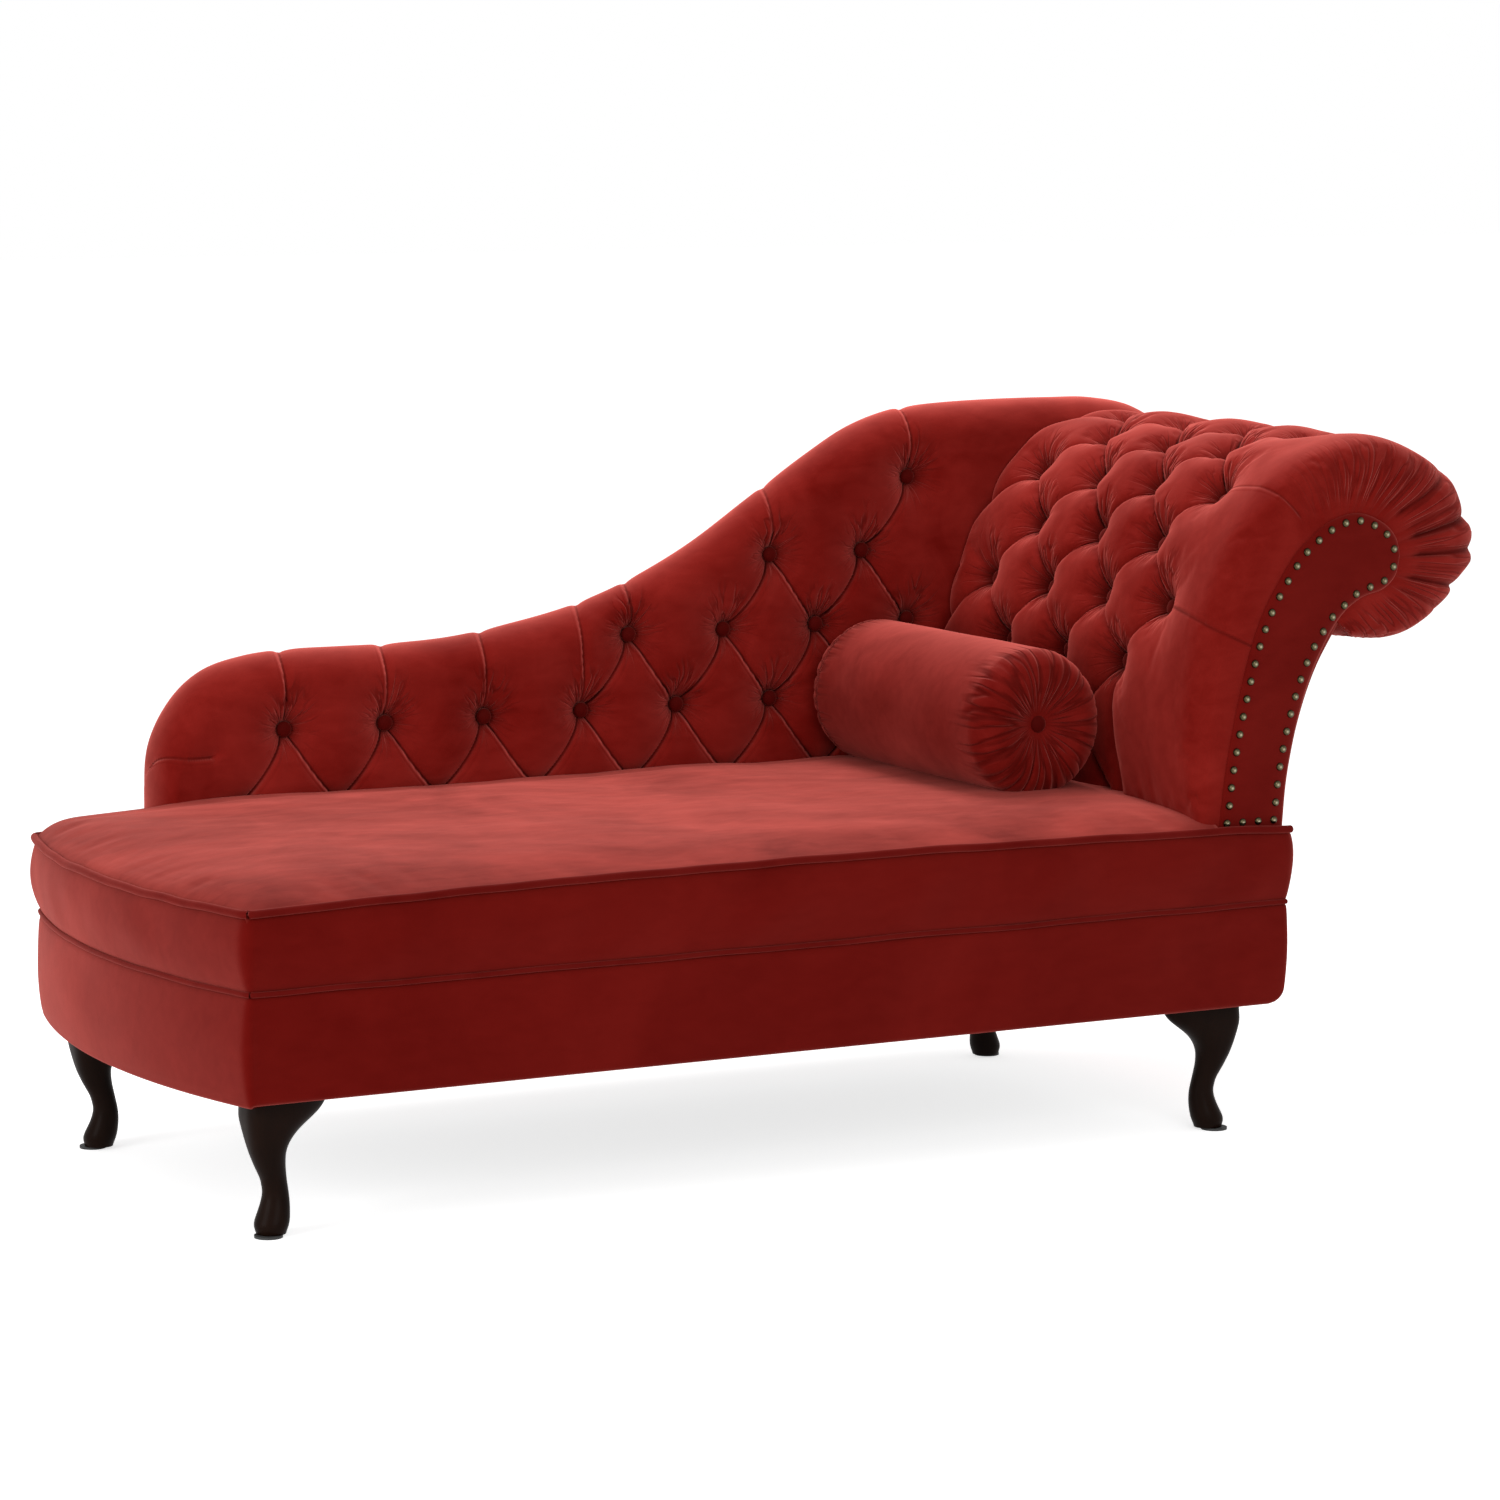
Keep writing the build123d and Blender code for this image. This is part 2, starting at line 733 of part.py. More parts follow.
back_cuts = []
towards_sitter = -axis_y
over_top = Vector(0, 0, back_peak)
for row, spots in enumerate(back_spots):
    below = back_spots[row - 1] if row else []
    for spot in spots:
        back_cuts.append(funnel(spot, towards_sitter))
        for step in (-0.5, 0.5):
            goal = spot + Vector(step * back_button_pitch, 0, -back_button_row)
            if row == 0 or min((goal - other).length for other in below) < button_radius:
                back_cuts.append(pleat(spot, goal, towards_sitter, pleat_depth, pleat_half_width))
upward_spots = [back_spots[0][i] for i in back_upward_pleats] + [spots[0] for spots in back_spots[1:]]
for spot in upward_spots:
    back_cuts.append(pleat(spot, spot + over_top, towards_sitter, pleat_depth, pleat_half_width))

back_outer = back_sketch(0)
back_cavity = back_prism(frame_inset, pad_rear, back_rear + 1)
rail_space = slab((frame_foot - fit_gap, 0, 0), (frame_head + fit_gap, far, bottom_rail_top + fit_gap))
with BuildPart() as back_pad:
    with BuildSketch(elevation(back_rear)):
        add(back_outer)
    extrude(amount=back_rear - back_front)
    rims = back_pad.edges().filter_by(lambda edge: abs(edge.tangent_at(0.5).Y) < 0.5)
    rims = [edge for edge in rims if edge.center().Z > seam_z + 1
            and (edge.center().X < 0 or edge.center().Z > welt_z)]
    fillet(rims, back_edge_round)
    add(back_cavity, mode=Mode.SUBTRACT)
    add(rail_space, mode=Mode.SUBTRACT)
    add(back_cuts, mode=Mode.SUBTRACT)
save(back_pad.part, "back_pad")

back_button_list = [dome(spot + axis_y * funnel_depth, towards_sitter, button_radius, button_height)
                    for spots in back_spots for spot in spots]
with BuildPart() as back_buttons:
    add(back_button_list)
save(back_buttons.part, "back_buttons")

frame_edge = frame_inset + fit_gap
save(back_prism(frame_edge, board_rear, back_rear), "back_cover")
save(back_prism(frame_edge, board_front, board_rear), "back_board")

with BuildPart() as bottom_rail:
    add(slab((frame_foot, box_back, seam_z), (frame_head, board_front, bottom_rail_top)))
    add(back_bolt_bores.part, mode=Mode.SUBTRACT)
save(bottom_rail.part, "back_bottom_rail")

post_zone = back_prism(frame_edge, pad_rear, board_front)
post_gap = (frame_head - frame_foot - post_width) / (post_count - 1)
with BuildPart() as posts:
    with BuildSketch(Plane.XY.offset(bottom_rail_top)):
        with Locations([(frame_foot + post_width / 2 + post_gap * i, (pad_rear + board_front) / 2)
                        for i in range(post_count)]):
            Rectangle(post_width, board_front - pad_rear)
    extrude(amount=far)
    add(post_zone, mode=Mode.INTERSECT)
save(posts.part, "back_posts")

with BuildPart() as back_bolts:
    with BuildSketch(elevation(box_back + back_bolt_grip)):
        with Locations([(x, back_bolt_z) for x in back_bolt_xs]):
            Circle(bolt_radius)
    extrude(amount=rail_inset + back_bolt_grip)
    with BuildSketch(elevation(back_core)):
        with Locations([(x, back_bolt_z) for x in back_bolt_xs]):
            RegularPolygon(back_bolt_head, 6)
    extrude(amount=back_bolt_cap)
save(back_bolts.part, "back_bolts")

# Loose bolster with gathered ends, lying on the seat in front of the arm
bolster_x = seat_head - bolster_gap - bolster_radius
bolster_z = seat_top + fit_gap + bolster_radius
bolster_rear = back_front - button_height
bolster_front = bolster_rear - bolster_length
bolster_axis = Axis((bolster_x, 0, bolster_z), (0, 1, 0))
bolster_flat = bolster_radius - bolster_corner
bolster_ends = ((bolster_front, 1), (bolster_rear, -1))
bolster_cuts = []
for end_y, into in bolster_ends:
    for i in range(bolster_gathers):
        angle = 2 * pi * i / bolster_gathers
        ray = Vector(cos(angle), 0, sin(angle))
        hub = Vector(bolster_x, end_y + into * bolster_dimple, bolster_z) + ray * bolster_button_radius
        rim = Vector(bolster_x, end_y, bolster_z) + ray * bolster_radius
        bolster_cuts.append(pleat(hub, rim, axis_y * -into, bolster_gather_depth, gather_half_width))
with BuildPart() as bolster:
    with BuildSketch(Plane.XY.offset(bolster_z)):
        with BuildLine():
            hubs = [(bolster_x, y + into * bolster_dimple) for y, into in bolster_ends]
            seats = [(bolster_x + bolster_button_radius, y) for x, y in hubs]
            rims = [(bolster_x + bolster_flat, y) for y, into in bolster_ends]
            sides = [(bolster_x + bolster_radius, y + into * bolster_corner) for y, into in bolster_ends]
            Line(hubs[0], seats[0])
            Line(seats[0], rims[0])
            TangentArc(rims[0], sides[0], tangent=(1, 0))
            Line(sides[0], sides[1])
            TangentArc(sides[1], rims[1], tangent=(0, 1))
            Line(rims[1], seats[1])
            Line(seats[1], hubs[1])
            Line(hubs[1], hubs[0])
        make_face()
    revolve(axis=bolster_axis)
    add(bolster_cuts, mode=Mode.SUBTRACT)
save(bolster.part, "bolster")

bolster_cap_radius = bolster_button_radius - bolster_button_ease
bolster_button_list = [dome(Vector(bolster_x, y + into * bolster_dimple, bolster_z), axis_y * -into,
                            bolster_cap_radius, button_height) for y, into in bolster_ends]
with BuildPart() as bolster_buttons:
    add(bolster_button_list)
save(bolster_buttons.part, "bolster_buttons")
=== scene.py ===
import json
import math
import bmesh
import bpy
import numpy as np
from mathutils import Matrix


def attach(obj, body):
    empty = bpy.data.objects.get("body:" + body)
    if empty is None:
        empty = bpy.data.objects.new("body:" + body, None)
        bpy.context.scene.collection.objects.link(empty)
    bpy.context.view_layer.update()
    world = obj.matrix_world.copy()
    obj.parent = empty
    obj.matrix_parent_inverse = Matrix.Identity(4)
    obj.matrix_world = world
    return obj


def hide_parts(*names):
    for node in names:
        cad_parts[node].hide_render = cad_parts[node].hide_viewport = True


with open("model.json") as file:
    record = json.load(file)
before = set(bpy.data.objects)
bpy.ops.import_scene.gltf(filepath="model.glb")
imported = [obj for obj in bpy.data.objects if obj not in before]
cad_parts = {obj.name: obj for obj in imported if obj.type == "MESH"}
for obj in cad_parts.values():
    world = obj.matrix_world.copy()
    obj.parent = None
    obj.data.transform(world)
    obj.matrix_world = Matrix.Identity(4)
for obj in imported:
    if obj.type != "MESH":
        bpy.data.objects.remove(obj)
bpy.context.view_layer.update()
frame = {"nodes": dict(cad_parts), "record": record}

# A recamier in red velvet. Every surface is worked out in millimetres and put into its mesh in metres.

MM = 0.001
LEG_TOP = 168.0
SEAM_Z = 300.0
WELT_Z = 395.0
SEAT_Z = 419.0
BOX_FRONT = -380.0
BOX_BACK = 307.0
HEAD_END = 582.0
FOOT_CORNER = -852.0
FOOT_APEX = -901.0
ARM_BASE = 390.0
SEAT_HEAD = 452.0
FACING_Y = -372.0


# Shared shapes

def smooth_step(low, high, value):
    """0 below low, 1 above high, and a cubic ease between."""
    t = np.clip((value - low) / (high - low), 0, 1)
    return t * t * (3 - 2 * t)


def drift(x, y, scale, seed, waves=9):
    """Slow unevenness of soft padding: a sum of sine waves in seeded directions, mostly within 1 of zero."""
    rng = np.random.default_rng(seed)
    total = np.zeros(np.broadcast(x, y).shape)
    for turn, phase, stretch in zip(rng.uniform(0, 2 * np.pi, waves), rng.uniform(0, 2 * np.pi, waves),
                                    rng.uniform(0.6, 1.8, waves)):
        run = x * np.cos(turn) + y * np.sin(turn)
        total = total + np.sin(2 * np.pi * run / (scale * stretch) + phase)
    return total / np.sqrt(waves)


def line_at(points, t):
    """A smooth line through points, read at t counted in points: cubic pieces whose slopes come from the
    neighbours on each side."""
    points = np.asarray(points, float)
    padded = np.vstack([2 * points[0] - points[1], points, 2 * points[-1] - points[-2]])
    k = np.clip(np.floor(t).astype(int), 0, len(points) - 2)
    f = (t - k)[..., None]
    p0, p1, p2, p3 = padded[k], padded[k + 1], padded[k + 2], padded[k + 3]
    return 0.5 * (2 * p1 + (p2 - p0) * f + (2 * p0 - 5 * p1 + 4 * p2 - p3) * f**2
                  + (3 * p1 - p0 - 3 * p2 + p3) * f**3)


def even_steps(points, count):
    """Values of t that stand at equal distances along line_at(points, t), and the line's length."""
    t = np.linspace(0, len(points) - 1, 4000)
    steps = np.linalg.norm(np.diff(line_at(points, t), axis=0), axis=1)
    run = np.concatenate([[0], np.cumsum(steps)])
    return np.interp(np.linspace(0, run[-1], count), run, t), run[-1]


def side_of(line):
    """Unit vectors to the left of a line of (x, z) points."""
    slope = np.gradient(line, axis=0)
    left = np.stack([-slope[:, 1], slope[:, 0]], -1)
    return left / np.linalg.norm(left, axis=1, keepdims=True)


def even_line(points, count):
    """Points at equal distances along the smooth line through points."""
    return line_at(points, even_steps(points, count)[0])


def at_depth(flat, y):
    """Points from (x, z) places and depths y."""
    return np.stack(np.broadcast_arrays(flat[..., 0], y, flat[..., 1]), -1)


def grid_faces(rows, columns, wrap_rows=False, wrap_columns=False, start=0):
    """The four-sided faces of a grid of rows by columns points, closed on itself where asked."""
    i = np.arange(rows if wrap_rows else rows - 1)[:, None]
    j = np.arange(columns if wrap_columns else columns - 1)[None, :]
    i_next = (i + 1) % rows
    j_next = (j + 1) % columns
    faces = np.stack([i * columns + j, i_next * columns + j,
                      i_next * columns + j_next, i * columns + j_next], -1)
    return faces.reshape(-1, 4) + start


def tube_faces(rows, columns):
    """Faces of a grid that closes on itself across its columns, with one face over each end."""
    ends = [list(range(columns)), list(range((rows - 1) * columns, rows * columns))]
    return grid_faces(rows, columns, wrap_columns=True).tolist() + ends


def slab_faces(rows, columns):
    """Faces of an upper and a lower grid of the same size, joined round their edge."""
    size = rows * columns
    ring = np.concatenate([np.arange(columns - 1), np.arange(rows - 1) * columns + columns - 1,
                           size - 1 - np.arange(columns - 1), (rows - 1 - np.arange(rows - 1)) * columns])
    after = np.roll(ring, -1)
    sides = np.stack([ring, after, after + size, ring + size], -1)
    return np.concatenate([grid_faces(rows, columns), grid_faces(rows, columns, start=size)[:, ::-1], sides])


def new_object(name, data):
    """An object for a mesh, a light or the camera, put into the scene."""
    obj = bpy.data.objects.new(name, data)
    bpy.context.scene.collection.objects.link(obj)
    return obj


def piece(name, points, faces, material, slot="velvet", body="couch", marks=()):
    """A named mesh from points in millimetres, welded where points meet and turned outwards. Marks are named
    values or vectors at each point, and go into the mesh as its own attributes."""
    mesh = bpy.data.meshes.new(name)
    mesh.from_pydata((np.asarray(points).reshape(-1, 3) * MM).tolist(), [], [list(f) for f in faces])
    for label, values in dict(marks).items():
        kind, field = ("FLOAT_VECTOR", "vector") if values.ndim == 3 else ("FLOAT", "value")
        layer = mesh.attributes.new(label, kind, "POINT")
        layer.data.foreach_set(field, values.ravel().astype(np.float32))
    work = bmesh.new()
    work.from_mesh(mesh)
    bmesh.ops.remove_doubles(work, verts=work.verts, dist=0.00002)
    bmesh.ops.dissolve_degenerate(work, edges=work.edges, dist=0.000005)
    bmesh.ops.recalc_face_normals(work, faces=work.faces)
    work.to_mesh(mesh)
    work.free()
    mesh.polygons.foreach_set("use_smooth", np.ones(len(mesh.polygons), bool))
    obj = new_object(name, mesh)
    mesh.materials.append(material)
    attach(obj, body)
    return obj


def tube_piece(name, points, material, **more):
    """A piece from a grid that closes on itself across its columns."""
    return piece(name, points, tube_faces(*points.shape[:2]), material, **more)


def slab_piece(name, upper, lower, material):
    """A piece from an upper and a lower grid of the same size."""
    points = np.concatenate([upper.reshape(-1, 3), lower.reshape(-1, 3)])
    return piece(name, points, slab_faces(*upper.shape[:2]), material)


def held_points(shade, first_columns, last_columns, end_rows):
    """How firmly each point of a cover is held while it is blown out: by its shade in the creases, and fully
    along its edges and over its hidden sides."""
    held = smooth_step(0.12, 0.4, shade)
    held[:, :first_columns] = 1
    held[:, held.shape[1] - last_columns:] = 1
    held[:end_rows] = 1
    held[len(held) - end_rows:] = 1
    return held


def blow_out(points, held, stride, cap, slack=0.015, pressure=4.0, frames=20):
    """Lets a padded cover take up its own shape. A coarser copy of the closed grid runs as cloth for 20
    frames, with a light pressure inside, a little spare cloth and its held points fixed. Each point's move,
    eased to stay under cap, is spread over the fine grid by straight interpolation along both directions."""
    rows, columns = points.shape[:2]
    row_at = np.unique(np.append(np.arange(0, rows, stride), rows - 1))
    column_at = np.arange(0, columns, stride)
    start = points[np.ix_(row_at, column_at)]
    m, n = start.shape[:2]
    mesh = bpy.data.meshes.new("trial cover")
    mesh.from_pydata((start.reshape(-1, 3) * MM).tolist(), [], tube_faces(m, n))
    work = bmesh.new()
    work.from_mesh(mesh)
    bmesh.ops.recalc_face_normals(work, faces=work.faces)
    work.to_mesh(mesh)
    work.free()
    cover = new_object("trial cover", mesh)
    fixed = held[np.ix_(row_at, column_at)].ravel()
    group = cover.vertex_groups.new(name="held")
    for weight in (0.25, 0.5, 0.75, 1.0):
        chosen = np.where(np.abs(np.round(fixed * 4) / 4 - weight) < 0.01)[0]
        group.add(chosen.tolist(), weight, "REPLACE")
    cloth = cover.modifiers.new("cloth", "CLOTH")
    cloth.settings.quality = 5
    cloth.settings.mass = 0.3
    cloth.settings.tension_stiffness = 15
    cloth.settings.compression_stiffness = 15
    cloth.settings.shear_stiffness = 5
    cloth.settings.bending_stiffness = 0.4
    cloth.settings.use_pressure = True
    cloth.settings.uniform_pressure_force = pressure
    cloth.settings.shrink_min = -slack
    cloth.settings.vertex_group_mass = "held"
    cloth.settings.effector_weights.gravity = 0
    cloth.collision_settings.use_collision = False
    cloth.point_cache.frame_start = 1
    cloth.point_cache.frame_end = frames
    for step in range(1, frames + 1):
        bpy.context.scene.frame_set(step)
    settled = cover.evaluated_get(bpy.context.evaluated_depsgraph_get()).to_mesh()
    ended = np.empty(m * n * 3, np.float32)
    settled.vertices.foreach_get("co", ended)
    bpy.data.objects.remove(cover)
    bpy.context.scene.frame_set(1)
    move = ended.reshape(m, n, 3) / MM - start
    long = np.linalg.norm(move, axis=-1, keepdims=True)
    move = move * cap * (1 - np.exp(-long / cap)) / np.maximum(long, 1e-6)
    move = np.concatenate([move, move[:, :1]], 1)
    across = np.interp(np.arange(columns), np.append(column_at, columns), np.arange(n + 1))
    along = np.interp(np.arange(rows), row_at, np.arange(m))
    i, j = np.minimum(along.astype(int), m - 2), np.minimum(across.astype(int), n - 1)
    f, g = (along - i)[:, None, None], (across - j)[None, :, None]
    down = move[i] * (1 - f) + move[i + 1] * f
    return points + down[:, j] * (1 - g) + down[:, j + 1] * g


def domes(centres, normals, radius, height, sides, rings, squareness=1.0):
    """Shallow domes at centres, each facing its normal: rings of a quarter ellipse over a flat seat."""
    centres = np.asarray(centres, float)
    normals = np.asarray(normals, float)
    normals = normals / np.linalg.norm(normals, axis=1, keepdims=True)
    helper = np.where(np.abs(normals[:, 1:2]) > 0.9, [[1.0, 0, 0]], [[0, 1.0, 0]])
    across = np.cross(helper, normals)
    across = across / np.linalg.norm(across, axis=1, keepdims=True)
    along = np.cross(normals, across)
    tilt = np.linspace(0, np.pi / 2, rings) ** squareness
    tilt = tilt / tilt[-1] * np.pi / 2
    turn = np.linspace(0, 2 * np.pi, sides, endpoint=False)
    out = (np.cos(tilt) * radius)[:, None]
    up = (np.sin(tilt) * height)[:, None] * np.ones(sides)
    points = (centres[:, None, None, :]
              + (out * np.cos(turn))[None, :, :, None] * across[:, None, None, :]
              + (out * np.sin(turn))[None, :, :, None] * along[:, None, None, :]
              + up[None, :, :, None] * normals[:, None, None, :])
    size = rings * sides
    faces = np.concatenate([grid_faces(rings, sides, wrap_columns=True, start=k * size)
                            for k in range(len(centres))]).tolist()
    faces += [list(range(k * size, k * size + sides)) for k in range(len(centres))]
    return points, faces


def covered_buttons(name, centres, normals, radius, height, shade, body="couch"):
    """Velvet stretched tight over button domes, darkened all over by one share of painted shade, as the
    buttons sit down in the shade of their pits.
    """
    points, faces = domes(centres, normals, radius, height, sides=24, rings=8, squareness=0.7)
    # Painted shade: one even darkening over each cap.
    cap_shade = {"fold": np.full(points.size // 3, shade)}
    return piece(name, points, faces, velvet_trim, body=body, marks=cap_shade)


# Shader building

def fill(tree, node, inputs):
    """Gives each named or numbered input of a node a wire from a socket, or a plain value."""
    for label, value in dict(inputs).items():
        if isinstance(value, bpy.types.NodeSocket):
            tree.links.new(value, node.inputs[label])
        else:
            node.inputs[label].default_value = value


def add(tree, kind, inputs=(), **settings):
    """A new shader node with its settings and inputs."""
    node = tree.nodes.new("ShaderNode" + kind)
    for label, value in settings.items():
        setattr(node, label, value)
    fill(tree, node, inputs)
    return node


def sum_of(tree, operation, *values):
    """The result of a Math node over sockets or numbers."""
    return add(tree, "Math", enumerate(values), operation=operation).outputs[0]


def mixed(tree, factor, first, second, rule="MIX"):
    """Two colours joined by a rule, by a factor."""
    inputs = {"Factor": factor, 6: first, 7: second}
    return add(tree, "Mix", inputs, data_type="RGBA", blend_type=rule).outputs[2]


def ranged(tree, value, low, high, to_low=0.0, to_high=1.0, ease="LINEAR"):
    """A value carried from one range to another, straight or eased."""
    ends = {"From Min": low, "From Max": high, "To Min": to_low, "To Max": to_high}
    return add(tree, "MapRange", {"Value": value, **ends}, interpolation_type=ease).outputs["Result"]


def noise(tree, vector, scale, detail, roughness=0.5, distortion=0.0):
    """Fractal noise over a vector, from 0 to 1."""
    return add(tree, "TexNoise", {"Vector": vector, "Scale": scale, "Detail": detail, "Roughness": roughness,
                                  "Distortion": distortion}).outputs["Fac"]


def bump(tree, height, strength, distance, over=None):
    """The normal that a height gives, laid over another normal where there is one."""
    inputs = {"Height": height, "Strength": strength, "Distance": distance}
    if over is not None:
        inputs["Normal"] = over
    return add(tree, "Bump", inputs).outputs["Normal"]


def mark(tree, label, output="Fac"):
    """One of the mesh's own marks, as a value or a vector."""
    return add(tree, "Attribute", attribute_name=label).outputs[output]


def own_place(tree):
    """The place on the piece itself."""
    return add(tree, "TexCoord").outputs["Object"]


def new_group(name, inputs, outputs):
    """An empty shader group with named sockets; returns its tree, its given sockets and its result node."""
    tree = bpy.data.node_groups.new(name, "ShaderNodeTree")
    for label, kind, value in inputs:
        socket = tree.interface.new_socket(label, in_out="INPUT", socket_type="NodeSocket" + kind)
        if value is not None:
            socket.default_value = value
    for label, kind in outputs:
        tree.interface.new_socket(label, in_out="OUTPUT", socket_type="NodeSocket" + kind)
    return tree, tree.nodes.new("NodeGroupInput").outputs, tree.nodes.new("NodeGroupOutput")


def bare_material(name):
    """A material with its Principled shader, ready for sockets."""
    material = bpy.data.materials.new(name)
    material.use_nodes = True
    return material, material.node_tree, material.node_tree.nodes["Principled BSDF"]


# Finishes

def make_nap_group():
    """Brushed pile: broad cloudy patches where the nap lies another way, short brush marks inside them, and
    a fine grain. Gives the colour between the dark and the light lay, and a height for the bump."""
    tree, given, result = new_group(
        "velvet nap",
        [("Vector", "Vector", None), ("Dark", "Color", (0.1, 0.0, 0.0, 1)),
         ("Light", "Color", (0.3, 0.05, 0.04, 1)), ("Patch Size", "Float", 6.0),
         ("Patch Amount", "Float", 0.5)],
        [("Color", "Color"), ("Height", "Float"), ("Roughness", "Float"), ("Lay", "Float")])
    place = given["Vector"]
    patches = noise(tree, place, given["Patch Size"], 4, roughness=0.55, distortion=0.9)
    brushed = add(tree, "Mapping", {"Vector": place, "Rotation": (0.2, 0.3, 0.5), "Scale": (24, 70, 60)})
    marks = noise(tree, brushed.outputs["Vector"], 1, 3, distortion=0.6)
    grain = noise(tree, place, 900, 2)
    rough_lay = sum_of(tree, "MULTIPLY_ADD", grain, 0.12, sum_of(tree, "MULTIPLY_ADD", marks, 0.35, patches))
    lay = sum_of(tree, "MULTIPLY", ranged(tree, rough_lay, 0.5, 0.98), given["Patch Amount"])
    fill(tree, result, {"Color": mixed(tree, lay, given["Dark"], given["Light"]), "Lay": lay,
                        "Height": sum_of(tree, "MULTIPLY_ADD", marks, 0.5, grain),
                        "Roughness": ranged(tree, patches, 0, 1, 0.62, 0.82)})
    return tree


def make_drawn_group():
    """Cloth drawn up by buttons and pleats: creases of a noise laid out round each button, and along each
    pleat a sharp line with a lip beside it. Gives a height and the share of shade in the creases."""
    tree, given, result = new_group(
        "drawn cloth", [("Gather", "Vector", None), ("Draw", "Float", 0.0), ("Pleat", "Vector", None)],
        [("Height", "Float"), ("Shade", "Float")])

    def bell(value, centre, half_width):
        """1 where value meets centre, easing to 0 at half_width on either side."""
        off = sum_of(tree, "ABSOLUTE", sum_of(tree, "SUBTRACT", value, centre))
        return ranged(tree, off, 0, half_width, 1, 0, "SMOOTHSTEP")

    folds = noise(tree, given["Gather"], 1, 1.5, roughness=0.6)
    crease = bell(folds, 0.5, 0.075)
    drawn = sum_of(tree, "MULTIPLY", sum_of(tree, "MULTIPLY_ADD", crease, -0.45, folds), given["Draw"])
    pleat = add(tree, "SeparateXYZ", {0: given["Pleat"]}).outputs
    line = bell(pleat["X"], 0.0, 3.2)
    lip = bell(pleat["X"], 5.0, 4.5)
    ridge = sum_of(tree, "MULTIPLY", sum_of(tree, "SUBTRACT", lip, line), pleat["Y"])
    shaded = sum_of(tree, "MULTIPLY", sum_of(tree, "MULTIPLY", crease, given["Draw"]), 0.55)
    fill(tree, result, {"Height": sum_of(tree, "MULTIPLY_ADD", ridge, 0.5, drawn),
                        "Shade": sum_of(tree, "MULTIPLY_ADD", line, pleat["Y"], shaded)})
    return tree


def make_grain_group():
    """Long wood grain: bands stretched along one direction, bent by noise, with short pores."""
    tree, given, result = new_group(
        "wood grain",
        [("Vector", "Vector", None), ("Dark", "Color", (0.02, 0.01, 0.01, 1)),
         ("Light", "Color", (0.06, 0.03, 0.02, 1)), ("Stretch", "Vector", (40, 40, 6))],
        [("Color", "Color"), ("Height", "Float"), ("Roughness", "Float")])
    factors = {0: given["Vector"], 1: given["Stretch"]}
    scaled = add(tree, "VectorMath", factors, operation="MULTIPLY").outputs[0]
    bands = noise(tree, scaled, 1, 5, distortion=0.5)
    fill(tree, result, {"Color": mixed(tree, bands, given["Dark"], given["Light"]),
                        "Height": noise(tree, scaled, 7, 2),
                        "Roughness": ranged(tree, bands, 0, 1, 0.3, 0.48)})
    return tree


def make_speckle_group():
    """A fine uneven tone between two colours, and a height that follows it."""
    tree, given, result = new_group(
        "speckle",
        [("Vector", "Vector", None), ("Dark", "Color", (0.1, 0.1, 0.1, 1)),
         ("Light", "Color", (0.2, 0.2, 0.2, 1)), ("Scale", "Float", 300.0)],
        [("Color", "Color"), ("Height", "Float")])
    tone = noise(tree, given["Vector"], given["Scale"], 4)
    fill(tree, result, {"Color": mixed(tree, tone, given["Dark"], given["Light"]), "Height": tone})
    return tree


NAP = make_nap_group()
DRAWN = make_drawn_group()
GRAIN = make_grain_group()
SPECKLE = make_speckle_group()


def velvet(name, dark, light, patch_size, patch_amount, painted_sheen, power):
    """Cut pile: a dark ground that turns pale where it is seen edge-on, by a power of the facing angle; this
    is a sheen painted into the colour. The mesh's own marks shape the creases, and darken the colour in
    folds, pits and crease lines as painted shade."""
    material, tree, shader = bare_material(name)
    nap = add(tree, "Group", {"Vector": own_place(tree), "Dark": (*dark, 1), "Light": (*light, 1),
                              "Patch Size": patch_size, "Patch Amount": patch_amount}, node_tree=NAP).outputs
    drawn = add(tree, "Group", {"Gather": mark(tree, "gather", "Vector"), "Draw": mark(tree, "draw"),
                                "Pleat": mark(tree, "pleat", "Vector")}, node_tree=DRAWN).outputs
    # Painted shade: the fold mark and the drawn crease lines darken the colour where the cloth lies in shade.
    in_fold = sum_of(tree, "MAXIMUM", mark(tree, "fold"), drawn["Shade"])
    creases = bump(tree, drawn["Height"], 0.9, 0.0045)
    facing = add(tree, "LayerWeight", {"Blend": 0.5, "Normal": creases}).outputs["Facing"]
    brushed = ranged(tree, nap["Lay"], 0, 1, 0.75, 1.25)
    # Painted sheen: the colour turns pale where the pile is seen edge-on.
    sheen_share = sum_of(tree, "MULTIPLY", sum_of(tree, "POWER", facing, power), brushed)
    with_painted_sheen = mixed(tree, sheen_share, nap["Color"], (painted_sheen, painted_sheen * 0.24, painted_sheen * 0.2, 1), "ADD")
    shade = (dark[0] * 0.22, dark[1] * 0.2, dark[2] * 0.2, 1)
    fill(tree, shader, {
        "Base Color": mixed(tree, in_fold, with_painted_sheen, shade), "Roughness": nap["Roughness"],
        "Normal": bump(tree, nap["Height"], 0.25, 0.0006, over=creases), "Specular IOR Level": 0.03,
        "Sheen Weight": 0.12, "Sheen Roughness": 0.3, "Sheen Tint": (1.0, 0.3, 0.25, 1)})
    return material


def wood(name, dark, light, stretch, coat=0.0):
    """Timber with grain along its length, bare or under a thin satin coat."""
    material, tree, shader = bare_material(name)
    grain = add(tree, "Group", {"Vector": own_place(tree), "Dark": (*dark, 1), "Light": (*light, 1),
                                "Stretch": stretch}, node_tree=GRAIN).outputs
    fill(tree, shader, {
        "Base Color": grain["Color"], "Roughness": grain["Roughness"],
        "Normal": bump(tree, grain["Height"], 0.15, 0.0004), "Specular IOR Level": 0.03,
        "Coat Weight": coat, "Coat Roughness": 0.12})
    return material


